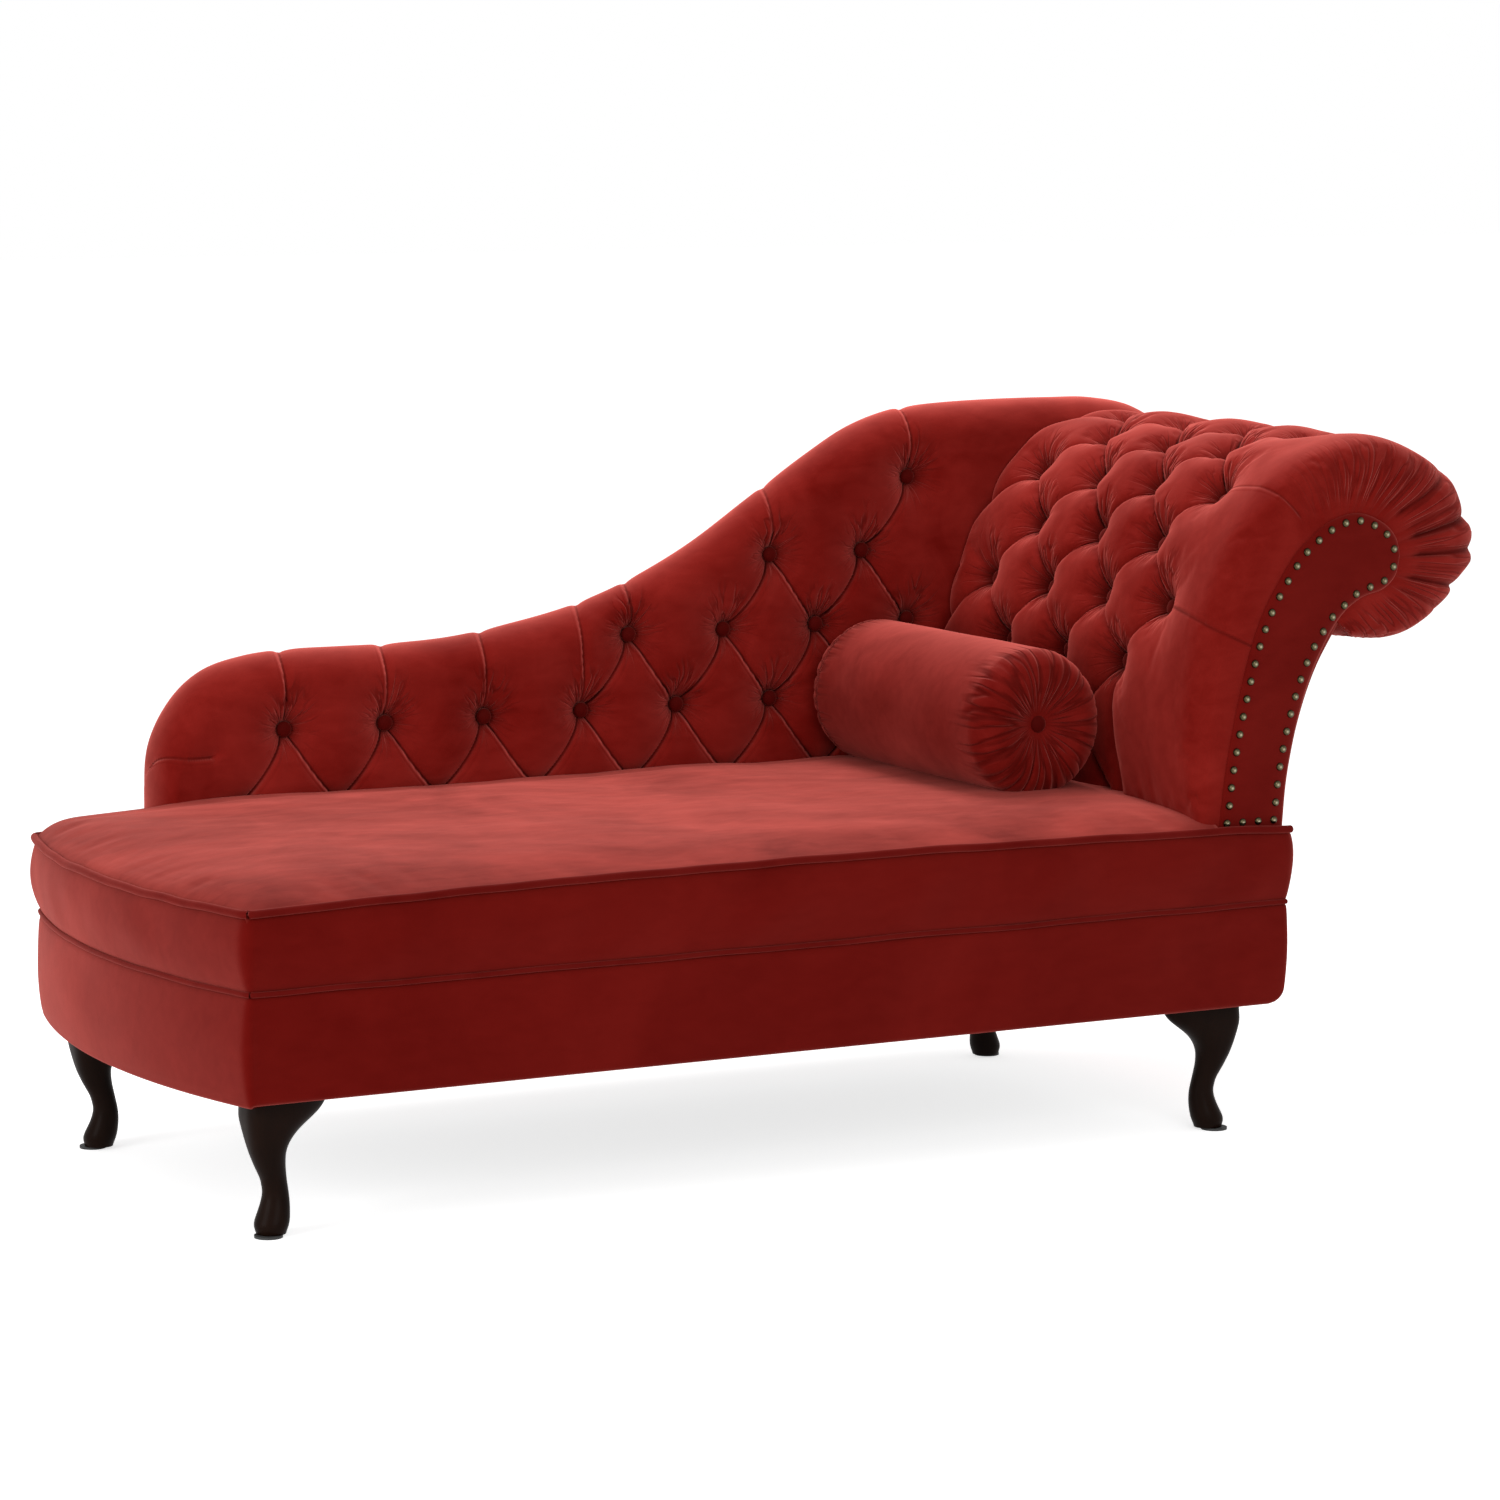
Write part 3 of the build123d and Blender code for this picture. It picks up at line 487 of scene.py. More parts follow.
def speckled(name, dark, light, scale, roughness, metallic=0.0, relief=0.1):
    """A plain finish with a fine uneven tone, for metal, glides and cloths inside."""
    material, tree, shader = bare_material(name)
    speckle = add(tree, "Group", {"Vector": own_place(tree), "Dark": (*dark, 1), "Light": (*light, 1),
                                  "Scale": scale}, node_tree=SPECKLE).outputs
    fill(tree, shader, {
        "Base Color": speckle["Color"], "Normal": bump(tree, speckle["Height"], relief, 0.0003),
        "Roughness": roughness, "Metallic": metallic})
    return material


def brass_with_painted_highlight(name):
    """Antique nail brass: darker at the rim of each dome, partly patina and partly painted shade, olive on
    its shoulder, and bright at the crown, partly rubbed wear and partly a painted highlight, with a fine
    uneven tone. The mesh's crown mark runs from 0 at the rim to 1 at the middle."""
    material = speckled(name, (0.6, 0.6, 0.58), (1.0, 1.0, 1.0), scale=260, roughness=0.24, metallic=1.0)
    tree = material.node_tree
    base = tree.nodes["Principled BSDF"].inputs["Base Color"]
    # Painted shade and highlight: the ramp over the crown mark runs from a dark rim to a bright crown.
    patina_shade_and_highlight = add(tree, "ValToRGB", {"Fac": mark(tree, "crown")})
    stops = patina_shade_and_highlight.color_ramp.elements
    stops[0].position = 0.12
    stops[0].color = (0.010, 0.008, 0.005, 1)
    stops[1].position = 1.0
    stops[1].color = (0.56, 0.51, 0.35, 1)
    for position, tone in ((0.4, (0.06, 0.05, 0.025)), (0.7, (0.115, 0.098, 0.052))):
        stops.new(position).color = (*tone, 1)
    uneven = base.links[0].from_socket
    tree.links.new(mixed(tree, 1, patina_shade_and_highlight.outputs["Color"], uneven, "MULTIPLY"), base)
    return material


# One red velvet in six copies. The dark ground and the edge-on paleness of each copy are set apart to stand
# in for how light falls on its pieces: the back and tufted arm copies are lighter in their ground than the
# panel, seat and trim copies. This is painted light and shade.
velvet_seat = velvet("velvet seat", dark=(0.105, 0.0032, 0.0020), light=(0.25, 0.022, 0.016),
                     patch_size=4.5, patch_amount=0.85, painted_sheen=0.32, power=2.0)
velvet_panel = velvet("velvet panel", dark=(0.112, 0.0026, 0.0015), light=(0.18, 0.0075, 0.005),
                      patch_size=4.0, patch_amount=0.6, painted_sheen=0.42, power=2.2)
velvet_tuft = velvet("velvet tufted", dark=(0.156, 0.0042, 0.0024), light=(0.28, 0.018, 0.013),
                     patch_size=6.0, patch_amount=0.75, painted_sheen=0.42, power=2.8)
velvet_back = velvet("velvet back", dark=(0.160, 0.0043, 0.0025), light=(0.29, 0.019, 0.014),
                     patch_size=6.0, patch_amount=0.75, painted_sheen=0.6, power=2.0)
velvet_bolster = velvet("velvet bolster", dark=(0.132, 0.0034, 0.0020), light=(0.24, 0.015, 0.011),
                        patch_size=6.0, patch_amount=0.75, painted_sheen=0.5, power=2.9)
velvet_trim = velvet("velvet trim", dark=(0.105, 0.0030, 0.0020), light=(0.17, 0.010, 0.008),
                     patch_size=9.0, patch_amount=0.5, painted_sheen=0.3, power=3.0)
dark_wood = wood("espresso stain", (0.005, 0.0022, 0.0014), (0.015, 0.0065, 0.004), (50, 50, 9), coat=0.012)
antique_brass = brass_with_painted_highlight("antique brass")
by_slot = {
    "velvet": velvet_panel,
    "antique_brass": antique_brass,
    "dark_wood": dark_wood,
    "timber": wood("planed timber", (0.36, 0.22, 0.12), (0.52, 0.35, 0.2), (6, 40, 40)),
    "plywood": wood("plywood", (0.42, 0.28, 0.16), (0.58, 0.42, 0.26), (9, 9, 160)),
    "steel": speckled("zinc steel", (0.5, 0.5, 0.51), (0.66, 0.66, 0.67), scale=300, roughness=0.4,
                      metallic=1.0),
    "glide": speckled("glide", (0.02, 0.02, 0.02), (0.04, 0.04, 0.04), scale=500, roughness=0.7),
    "webbing": speckled("webbing", (0.30, 0.25, 0.17), (0.42, 0.36, 0.26), scale=420, roughness=0.9,
                        relief=0.4),
    "dust_cloth": speckled("dust cloth", (0.012, 0.012, 0.012), (0.03, 0.03, 0.03), scale=600, roughness=0.95,
                           relief=0.3)}
for part in frame["record"]["subparts"]:
    node = frame["nodes"][part["node"]]
    node.data.materials.clear()
    node.data.materials.append(by_slot[part["material_slot"]])


# Seat box

def bow_x(y):
    """X of the bowed foot end at depth y: a circular arc through the two corners and the apex."""
    half = (BOX_BACK - BOX_FRONT) / 2
    sag = FOOT_CORNER - FOOT_APEX
    radius = (half**2 + sag**2) / (2 * sag)
    return FOOT_APEX + radius - np.sqrt(radius**2 - (y - (BOX_FRONT + BOX_BACK) / 2) ** 2)


def box_loop(count, ease=5.0):
    """The seat box from above as a closed line of (x, y): front, bowed foot, back and head, a point to each
    millimetre. The corners are eased by a running mean, and the chosen points stand closer together where the
    line turns."""
    length = HEAD_END - FOOT_CORNER
    depth = BOX_BACK - BOX_FRONT
    straight = np.linspace(0, 1, int(length), endpoint=False)
    across = np.linspace(0, 1, int(depth), endpoint=False)
    ys = BOX_FRONT + across * depth
    line = np.concatenate([
        np.stack([HEAD_END - straight * length, np.full(len(straight), BOX_FRONT)], -1),
        np.stack([bow_x(ys), ys], -1),
        np.stack([FOOT_CORNER + straight * length, np.full(len(straight), BOX_BACK)], -1),
        np.stack([np.full(len(across), HEAD_END), BOX_BACK - across * depth], -1)])
    n = len(line)
    index = np.minimum(np.arange(n), n - np.arange(n))
    kernel = np.exp(-0.5 * (index / ease) ** 2)
    kernel = np.fft.fft(kernel / kernel.sum())[:, None]
    line = np.real(np.fft.ifft(np.fft.fft(line, axis=0) * kernel, axis=0))
    slope = (np.roll(line, -1, 0) - np.roll(line, 1, 0)) / 2
    bend = np.linalg.norm(np.roll(slope, -1, 0) - np.roll(slope, 1, 0), axis=1)
    run = np.cumsum(0.08 + np.minimum(bend, 0.2) * 8)
    picks = np.interp(np.linspace(0, run[-1], count, endpoint=False), run, np.arange(n)).astype(int)
    line = line[picks]
    slope = slope[picks]
    outward = np.stack([-slope[:, 1], slope[:, 0]], -1)
    return line, outward / np.linalg.norm(outward, axis=1, keepdims=True)


LOOP, LOOP_OUT = box_loop(620)
LOOP_X, LOOP_Y = LOOP[:, 0], LOOP[:, 1]
AT_FOOT = np.clip(-LOOP_OUT[:, 0], 0, 1)


def front_rise(x, y, rise=11.0):
    """The front edge of the seat stands a little higher in the middle of its length than at its ends."""
    middle = np.sin(np.pi * np.clip((x - FOOT_CORNER) / (HEAD_END - FOOT_CORNER), 0, 1)) ** 0.8
    return rise * middle * smooth_step(-150, -370, y)


def ring_piece(name, offsets, heights):
    """A closed section carried round the seat box: offsets outward and heights, each (section, loop)."""
    points = np.empty((len(LOOP), offsets.shape[0], 3))
    points[..., :2] = LOOP[:, None, :] + LOOP_OUT[:, None, :] * offsets.T[..., None]
    points[..., 2] = heights.T
    return piece(name, points, grid_faces(*points.shape[:2], wrap_rows=True, wrap_columns=True), velvet_panel)


def border_section(edge_round=6.0, head_round=26.0, tuck=32.0, seam_tuck=9.0, foot_drop=3.0):
    """Lower border: tucked under, rounded at the bottom, almost flat, drawn in at the seam above. Its bottom
    edge curves up at the head, where the end of the box is rounded under."""
    at_head = smooth_step(0.2, 0.9, LOOP_OUT[:, 0])
    round_radius = edge_round + (head_round - edge_round) * at_head
    past = np.clip(LOOP_X - (HEAD_END - head_round), 0, head_round)
    lift = (head_round - np.sqrt(head_round**2 - past**2 + 1e-9)) * (1 - at_head)
    turn = np.linspace(-np.pi / 2, 0, 9)[:, None]
    up = np.linspace(0, 1, 26)[1:, None]
    start = LEG_TOP + lift + round_radius
    bulge = 1.8 + 5.2 * AT_FOOT
    level = np.ones((1, len(LOOP)))
    offsets = np.concatenate([
        -tuck * level, round_radius * (np.cos(turn) - 1),
        bulge * np.sin(np.pi * up) ** 0.7 - 3.0 * smooth_step(0.95, 1, up),
        -seam_tuck * level, -tuck * level])
    heights = np.concatenate([
        LEG_TOP * level + lift - foot_drop * AT_FOOT,
        start - foot_drop * AT_FOOT + round_radius * np.sin(turn),
        start - foot_drop * AT_FOOT * (1 - up) + (SEAM_Z - 1.5 - start) * up,
        (SEAM_Z - 1.0) * level, (SEAM_Z - 1.0) * level])
    shown = slice(len(turn), -2)
    uneven = drift(LOOP_X[None] + LOOP_Y[None], heights, 190, 3) * 1.1
    offsets[shown] += uneven[shown] * np.sin(np.pi * np.linspace(0, 1, len(offsets[shown])))[:, None]
    return offsets, heights


def band_section(swell=9.0, tuck=30.0):
    """Upper band: a shallow swell between the seam and the piping, fuller near the top and at the foot, and
    almost flat behind, where the back stands against it."""
    behind = smooth_step(-0.5, 0.5, LOOP_OUT[:, 1]) * smooth_step(-760, -700, LOOP_X)
    up = np.linspace(0, 1, 30)[:, None]
    top = WELT_Z - 2 + front_rise(LOOP_X, LOOP_Y)
    heights = SEAM_Z + 1 + (top - SEAM_Z - 1) * up
    offsets = swell * np.sin(np.pi * up) ** 0.6 * (0.75 + 0.35 * up) * (1 - 0.85 * behind) - 2 + 3 * up
    offsets = offsets + 3 * AT_FOOT * np.sin(np.pi * up) ** 0.6
    offsets = offsets + drift(LOOP_X[None] + LOOP_Y[None], heights, 150, 8) * 0.9 * np.sin(np.pi * up)
    inner = np.full((1, len(LOOP)), -tuck)
    return np.concatenate([inner, offsets, inner]), np.concatenate([heights[:1], heights, heights[-1:]])


border = ring_piece("border_cover", *border_section())
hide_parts("border_front", "border_back", "border_foot", "border_head")
band = ring_piece("band_cover", *band_section())
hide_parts("band_front", "band_back", "band_foot", "band_head")


def piping(line, radius, sides=12):
    """A round cord along a line of points: a circle in the plane of the outward and upward directions."""
    slope = np.gradient(line, axis=0)
    slope /= np.linalg.norm(slope, axis=1, keepdims=True)
    out = np.cross(slope, [0, 0, 1.0])
    out /= np.linalg.norm(out, axis=1, keepdims=True)
    over = np.cross(out, slope)
    turn = np.linspace(0, 2 * np.pi, sides, endpoint=False)[None, :, None]
    return line[:, None] + radius * (np.cos(turn) * out[:, None] + np.sin(turn) * over[:, None])


def piping_line(heights, outward):
    """The line of a cord round the front and the foot, up to the back and the arm."""
    shown = np.where((LOOP_Y < BOX_BACK - 3) & (LOOP_X < HEAD_END - 3) | (LOOP_X < -700))[0]
    shown = shown[np.argsort((shown - shown[0]) % len(LOOP))]
    return np.column_stack([LOOP[shown] + LOOP_OUT[shown] * outward, heights[shown]])


welt_heights = WELT_Z + front_rise(LOOP_X, LOOP_Y) + drift(LOOP_X, LOOP_Y, 120, 5) * 0.7
seam_heights = SEAM_Z + drift(LOOP_X, LOOP_Y, 150, 6) * 0.5
welt_line = piping_line(welt_heights, outward=6.0)
welt = tube_piece("seat_piping", piping(welt_line, radius=5.0), velvet_trim)
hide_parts("seat_welt")
seam_line = piping_line(seam_heights, outward=0.5)
tube_piece("seam_piping", piping(seam_line, radius=3.4), velvet_trim)


# Seat

def seat_surface(rows=270, columns=155, crown=7.0):
    """Crowned seat: rises quickly from the piping at the front and foot, then eases to its full height,
    with broad soft unevenness. Returned as the top and the flat underside."""
    s = np.linspace(0, 1, rows)[:, None] ** 1.15
    t = np.linspace(0, 1, columns)[None, :] ** 1.2
    y = BOX_FRONT - 3 + t * (BOX_BACK - BOX_FRONT + 1) + 0 * s
    foot = bow_x(np.clip(y, BOX_FRONT, BOX_BACK)) - 3
    x = foot + s * (SEAT_HEAD + 25 - foot)
    from_front = y - y[:, :1]
    from_foot = x - foot
    edge = WELT_Z - 1 + front_rise(x, np.full_like(y, BOX_FRONT)) * (1 - t)
    rise = (1 - np.exp(-from_front / 40)) * (1 - np.exp(-from_foot / 26))
    slow = 0.85 + 0.15 * smooth_step(0, 260, np.minimum(from_front, from_foot))
    soft = drift(x, y, 260, 11) * 2.0 + drift(x, y, 90, 12) * 0.5
    inside = smooth_step(0, 70, np.minimum(from_front, from_foot))
    top = edge + (SEAT_Z + crown - edge) * rise * slow + soft * inside
    return np.stack([x, y, top], -1), np.stack([x, y, np.full_like(top, WELT_Z - 20)], -1)


seat_upper, seat_lower = seat_surface()
seat_columns = seat_upper.shape[1]
seat_loop = np.concatenate([seat_upper, seat_lower[:, ::-1]], 1)
seat_held = held_points(np.zeros(seat_loop.shape[:2]), first_columns=6, last_columns=seat_columns + 9,
                        end_rows=6)
seat_upper = blow_out(seat_loop, seat_held, stride=4, cap=5.0, slack=0.002)[:, :seat_columns]
seat = slab_piece("seat_cushion", seat_upper, seat_lower, velvet_seat)
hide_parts("seat_pad")


# Buttoned padding

def tufting(u, v, buttons, pleats, button_depth, pleat_depth, uphill_turn, seed):
    """How far buttoned padding is drawn in at (u, v): each pleat is a crease that is steep on one side and
    slack on the other, deepest at its buttons; each button is a pit. Pits and creases are joined by a
    fourth-power mean, so the deeper one rules, and a fan of soft folds stands round each pit. The marks say
    where the cloth is drawn up: the direction from the nearest button, how strongly it puckers there, longest
    uphill, and the distance across the nearest pleat with its weight."""
    rng = np.random.default_rng(seed)
    total = np.zeros(np.broadcast(u, v).shape)
    nearest = np.full(total.shape, 1e6)
    pleat_mark = np.zeros((*total.shape, 3))
    for u0, v0, u1, v1, weight, slim in pleats:
        du, dv = u1 - u0, v1 - v0
        run = np.hypot(du, dv)
        along = np.clip(((u - u0) * du + (v - v0) * dv) / run**2, 0, 1)
        lean = np.sign(du) if du else 1.0
        bow = 5.0 * np.sin(np.pi * along) * lean
        across = (((u - u0) * dv - (v - v0) * du) / run - bow) * lean
        beside = (along > 0) & (along < 1)
        away = np.where(beside, np.abs(across), np.hypot(u - u0 - along * du, v - v0 - along * dv))
        width = np.where(across > 0, 10.0, 30.0) * slim
        depth = pleat_depth * weight * (0.6 + 0.4 * (2 * along - 1) ** 2)
        total += (depth * np.exp(-away / width) + 0.3 * depth * np.exp(-away / 4.0)) ** 4
        closer = away < nearest
        nearest = np.where(closer, away, nearest)
        shown = smooth_step(0, 0.07, along) * smooth_step(0, 0.07, 1 - along) * (1 - smooth_step(9, 18, away))
        shown = shown * (0.55 + 0.45 * np.abs(2 * along - 1)) * min(1, 0.3 + 0.7 * weight)
        pleat_mark[closer] = np.stack([across, shown, along], -1)[closer]
    fan = np.zeros_like(total)
    draw = np.zeros_like(total)
    gather = np.zeros((*total.shape, 3))
    nearest[:] = 1e6
    second = nearest.copy()
    for k, (u0, v0) in enumerate(buttons):
        away = np.hypot(u - u0, v - v0)
        turn = np.arctan2(v - v0, u - u0)
        total += (button_depth * np.exp(-(np.maximum(away - 8, 0) / 23) ** 1.05)) ** 4
        uphill = np.cos(turn - uphill_turn)
        reach = 34 + 14 * uphill + 7 * np.sin(3 * turn + rng.uniform(0, 6.3))
        soft_folds = (1 - np.abs(np.sin(4.5 * turn + rng.uniform(0, 6.3) + 0.4 * np.sin(2 * turn)))) ** 2
        fan += (3.0 + uphill) * soft_folds * np.exp(-(away / reach) ** 1.6) * np.clip((away - 9) / 9, 0, 1)
        closer = away < nearest
        second = np.where(closer, nearest, np.minimum(second, away))
        nearest = np.where(closer, away, nearest)
        limit = 58 + 34 * np.clip(uphill, 0, 1) ** 6
        pucker = 0.35 + 0.65 * np.clip(0.5 + 0.5 * uphill, 0, 1) ** 2
        pucker = pucker * (1 - smooth_step(0.25, 1, away / limit))
        draw = np.where(closer, pucker * smooth_step(8, 15, away), draw)
        place = np.stack([3.4 * np.cos(turn), 3.4 * np.sin(turn), 5.1 * k + away / 50], -1)
        gather[closer] = place[closer]
    draw = draw * smooth_step(0, 26, second - nearest)
    return total**0.25 + fan, {"gather": gather, "draw": draw, "pleat": pleat_mark}


# Back

BACK_OUTLINE = np.array([
    (-689, 300), (-689, 360), (-689, 419), (-683, 496), (-653, 553), (-609, 589), (-551, 605), (-489, 610),
    (-418, 610), (-347, 610), (-261, 614), (-173, 627), (-85, 646), (5, 677), (96, 721), (188, 780),
    (280, 838), (343, 873), (406, 893), (469, 900), (565, 903), (662, 903), (728, 901), (794, 887),
    (850, 850), (886, 790), (884, 726), (850, 680), (800, 652), (722, 622), (660, 580), (620, 520),
    (600, 460), (590, 400), (585, 350), (582, 300)], float)
BACK_START = -689.0
BACK_FRONT = 304.0
BACK_REAR = 391.0
BACK_PITCH = 143.0
BACK_ROW = 98.0
BACK_FIRST_X = BACK_START + 182.0
BACK_FIRST_Z = WELT_Z + 113.0
BACK_BUTTON_SUNK = 24.0
BACK_ROW_STARTS = (0, 3, 5, 6)
BACK_COLUMNS = 7

back_rows = []
for row, first in enumerate(BACK_ROW_STARTS):
    shift = (row % 2) / 2
    row_z = BACK_FIRST_Z + BACK_ROW * row
    back_rows.append([(BACK_FIRST_X + BACK_PITCH * (k + shift), row_z) for k in range(first, BACK_COLUMNS)])
back_buttons = [spot for spots in back_rows for spot in spots]
back_pleats = []
for row, spots in enumerate(back_rows):
    for x, z in spots:
        for side in (-0.5, 0.5):
            goal = (x + side * BACK_PITCH, z - BACK_ROW)
            if row == 0 or min(math.hypot(goal[0] - a, goal[1] - b) for a, b in back_rows[row - 1]) < 9:
                back_pleats.append((x, z, *goal, 1.0, 1.0))
for x, z in back_rows[0][:4] + [spots[0] for spots in back_rows[1:]]:
    back_pleats.append((x, z, x - 6, z + 260, 0.5, 0.4))
back_pleats.append((-612, 481, -700, 492, 0.35, 0.4))


def back_spokes(count, climb_from=17, hub_from=20, hub_to=30):
    """Spokes that fill the back's outline: feet, unit directions and lengths. The feet run along the bottom
    to the head, climb a line behind the arm, wait at its top while the spokes turn round the head, and climb
    down. The climb and the wait are counted in the outline's points."""
    t, _ = even_steps(BACK_OUTLINE, count)
    rim = line_at(BACK_OUTLINE, t)
    number = np.arange(len(BACK_OUTLINE))
    across = np.clip((BACK_OUTLINE[:, 0] - BACK_START) / (HEAD_END - BACK_START), 0, 1)
    low = 0.75 * across + 0.25 * number / number[-1]
    along = np.minimum(low / low[climb_from], 1)[:, None]
    climb = np.interp(number, [climb_from, hub_from, hub_to, number[-1]], [0, 1, 1, 0])[:, None]
    feet = np.array([-640.0, 300.0]) + along * [1180, 0] + climb * [60, 340]
    foot = np.stack([np.interp(t, number, feet[:, k]) for k in (0, 1)], -1)
    reach = np.linalg.norm(rim - foot, axis=1, keepdims=True)
    return foot, (rim - foot) / reach, reach


def back_surface(count=600, up_count=190, edge_count=30, rear_count=16, edge_depth=52.0):
    """Padded back: spokes run from a foot line up to the outline; along each spoke the surface goes up the
    buttoned front, over the edge on a half ellipse and down the plain rear. The relief is laid out on the
    unrolled cloth, so pleats carry on over the edge."""
    foot, spoke, reach = back_spokes(count)
    edge_in = np.minimum(edge_depth, 0.6 * reach)
    half = (BACK_REAR - BACK_FRONT) / 2
    middle = (BACK_REAR + BACK_FRONT) / 2
    up = np.linspace(0, 1, up_count)[None, :-1] * (reach - edge_in)
    bend = np.linspace(np.pi / 2, -np.pi / 2, edge_count)[None, :]
    down = np.linspace(1, 0, rear_count)[None, 1:] * (reach - edge_in)
    radial = np.concatenate([up, reach - edge_in + edge_in * np.cos(bend), down], 1)
    depth = np.concatenate([np.full(up.shape, BACK_FRONT), middle - half * np.sin(bend) + 0 * reach,
                            np.full(down.shape, BACK_REAR)], 1)
    out_radial = np.concatenate([0 * up, np.cos(bend) + 0 * reach, 0 * down], 1)
    out_depth = np.concatenate([-1 + 0 * up, -np.sin(bend) + 0 * reach, 1 + 0 * down], 1)
    steps = np.hypot(np.diff(radial, axis=1), np.diff(depth, axis=1))
    unrolled = np.concatenate([np.zeros((count, 1)), np.cumsum(steps, 1)], 1)
    flat = foot[:, None, :] + spoke[:, None, :] * unrolled[..., None]
    place = foot[:, None, :] + spoke[:, None, :] * radial[..., None]
    relief, marks = tufting(flat[..., 0], flat[..., 1], back_buttons, back_pleats, button_depth=31.0,
                            pleat_depth=18.0, uphill_turn=np.pi / 2, seed=21)
    fade = np.concatenate([np.ones(up.shape), smooth_step(-1.1, 0.3, bend) + 0 * reach, 0 * down], 1)
    swell = 3.0 * smooth_step(300, 430, place[..., 1]) + drift(flat[..., 0], flat[..., 1], 200, 22) * 1.4
    moved = swell * np.clip(-out_depth, 0, 1) ** 1.5 - relief * fade
    place = place + spoke[:, None, :] * out_radial[..., None] * moved[..., None]
    points = at_depth(place, depth + out_depth * moved)
    marks["draw"] = marks["draw"] * fade
    marks["pleat"][..., 1] *= fade
    # Painted shade: this mark darkens the colour in the button pits and deep creases.
    marks["fold"] = 0.8 * smooth_step(9, 40, relief) * fade
    return points, marks


def back_panel(count=300, up_count=40, margin=40.0):
    """Outside back: a panel set inside the outline, sewn flat at its edge and faintly padded."""
    foot, spoke, reach = back_spokes(count)
    reach = reach - np.minimum(margin, 0.5 * reach)
    radial = reach * np.linspace(0, 1, up_count) ** 0.7
    flat = foot[:, None, :] + spoke[:, None, :] * radial[..., None]
    puff = 2.4 * (1 - np.exp(-(reach - radial) / 9)) - 0.6
    return at_depth(flat, BACK_REAR + puff), at_depth(flat, BACK_REAR - 6)


back_points, back_marks = back_surface()
back_held = held_points(back_marks["fold"], first_columns=8, last_columns=29, end_rows=12)
back_points = blow_out(back_points, back_held, stride=3, cap=8.0)
back = tube_piece("buttoned_back", back_points, velvet_back, marks=back_marks)
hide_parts("back_pad")

rear_panel = slab_piece("outside_back", *back_panel(), velvet_panel)
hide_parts("back_cover")

back_seats = [(x, BACK_FRONT + BACK_BUTTON_SUNK, z) for x, z in back_buttons]
back_caps = covered_buttons("back_button_caps", back_seats, [(0, -1, 0)] * len(back_seats), radius=11.0,
                            height=7.0, shade=0.35)
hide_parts("back_buttons")


# Scroll arm

ARM_ORIGIN = np.array([HEAD_END, ARM_BASE])
FACING = ARM_ORIGIN + np.array([
    (-101, 0), (-88, 100), (-63, 210), (-37, 282), (3, 345), (31, 373), (68, 396), (108, 403), (145, 389),
    (165, 369), (171, 345), (165, 321), (146, 304), (110, 293), (76, 266)], float)
FACING_OUTER = ARM_ORIGIN + np.array([(42, 210), (19, 148), (2, 72), (-5, 0)], float)
ROLL = ARM_ORIGIN + np.array([
    (-126, 0), (-130, 110), (-120, 217), (-95, 300), (-56, 380), (-10.5, 437), (50, 478), (158, 497),
    (260, 459), (304, 413), (328.5, 347), (290, 289), (222, 249), (170, 236), (108, 243)], float)
ARM_REAR = 306.0
ARM_PITCH = 146.6
ARM_ROW = 86.0
ARM_ROWS = 7
ARM_BUTTON_SUNK = 33.0
ARM_FIRST_RUN = 120.0
ARM_FIRST_Y = 232.0
# Each gather of the roll's front end: distance along the roll, depth, where it starts between the rim and
# the facing, and how far it slants
GATHERS = np.array([
    (505, 2.0, 0.6, 8), (540, 2.5, 0.55, 6), (572, 2.2, 0.6, 4), (606, 3.5, 0.5, 0), (636, 2.8, 0.55, -3),
    (668, 4.5, 0.4, -6), (702, 4.0, 0.45, -8), (738, 6.5, 0.25, -10), (782, 9.5, 0.0, -10),
    (824, 7.0, 0.25, -6), (852, 12.0, -0.2, -4), (898, 11.0, -0.2, 2), (925, 6.0, 0.3, 5),
    (958, 10.5, -0.1, 9), (1004, 6.5, 0.2, 10), (1048, 4.5, 0.4, 8), (1090, 3.0, 0.5, 6)])

roll_t, roll_length = even_steps(ROLL, 420)
roll_line = line_at(ROLL, roll_t)
roll_out = side_of(roll_line)
roll_run = np.linspace(0, roll_length, len(roll_line))
facing_line = line_at(FACING, roll_t)

arm_rows = []
for row in range(ARM_ROWS):
    shift = row % 2
    count = 3 if shift or row == 0 else 4
    arm_rows.append([(ARM_FIRST_RUN + ARM_ROW * row, ARM_FIRST_Y - ARM_PITCH * (k + shift / 2))
                     for k in range(count)])
arm_buttons = [spot for spots in arm_rows for spot in spots]
arm_pleats = []
for row, spots in enumerate(arm_rows):
    for run, y in spots:
        for side in (-0.5, 0.5):
            goal = y + side * ARM_PITCH
            if goal > -215 and not (row == 1 and goal < -200):
                arm_pleats.append((run, y, run - ARM_ROW, goal, 1.0, 1.0))
for run, y in arm_rows[-1]:
    arm_pleats.append((run, y, run + 190, y, 0.6, 0.8))
arm_pleats.append((*arm_rows[1][-1], 0.0, -172.0, 0.95, 1.0))
arm_pleats.append((*arm_rows[2][-1], 248.0, -424.0, 0.25, 0.6))
arm_pleats.append((*arm_rows[4][-1], 476.0, -400.0, 0.15, 0.5))


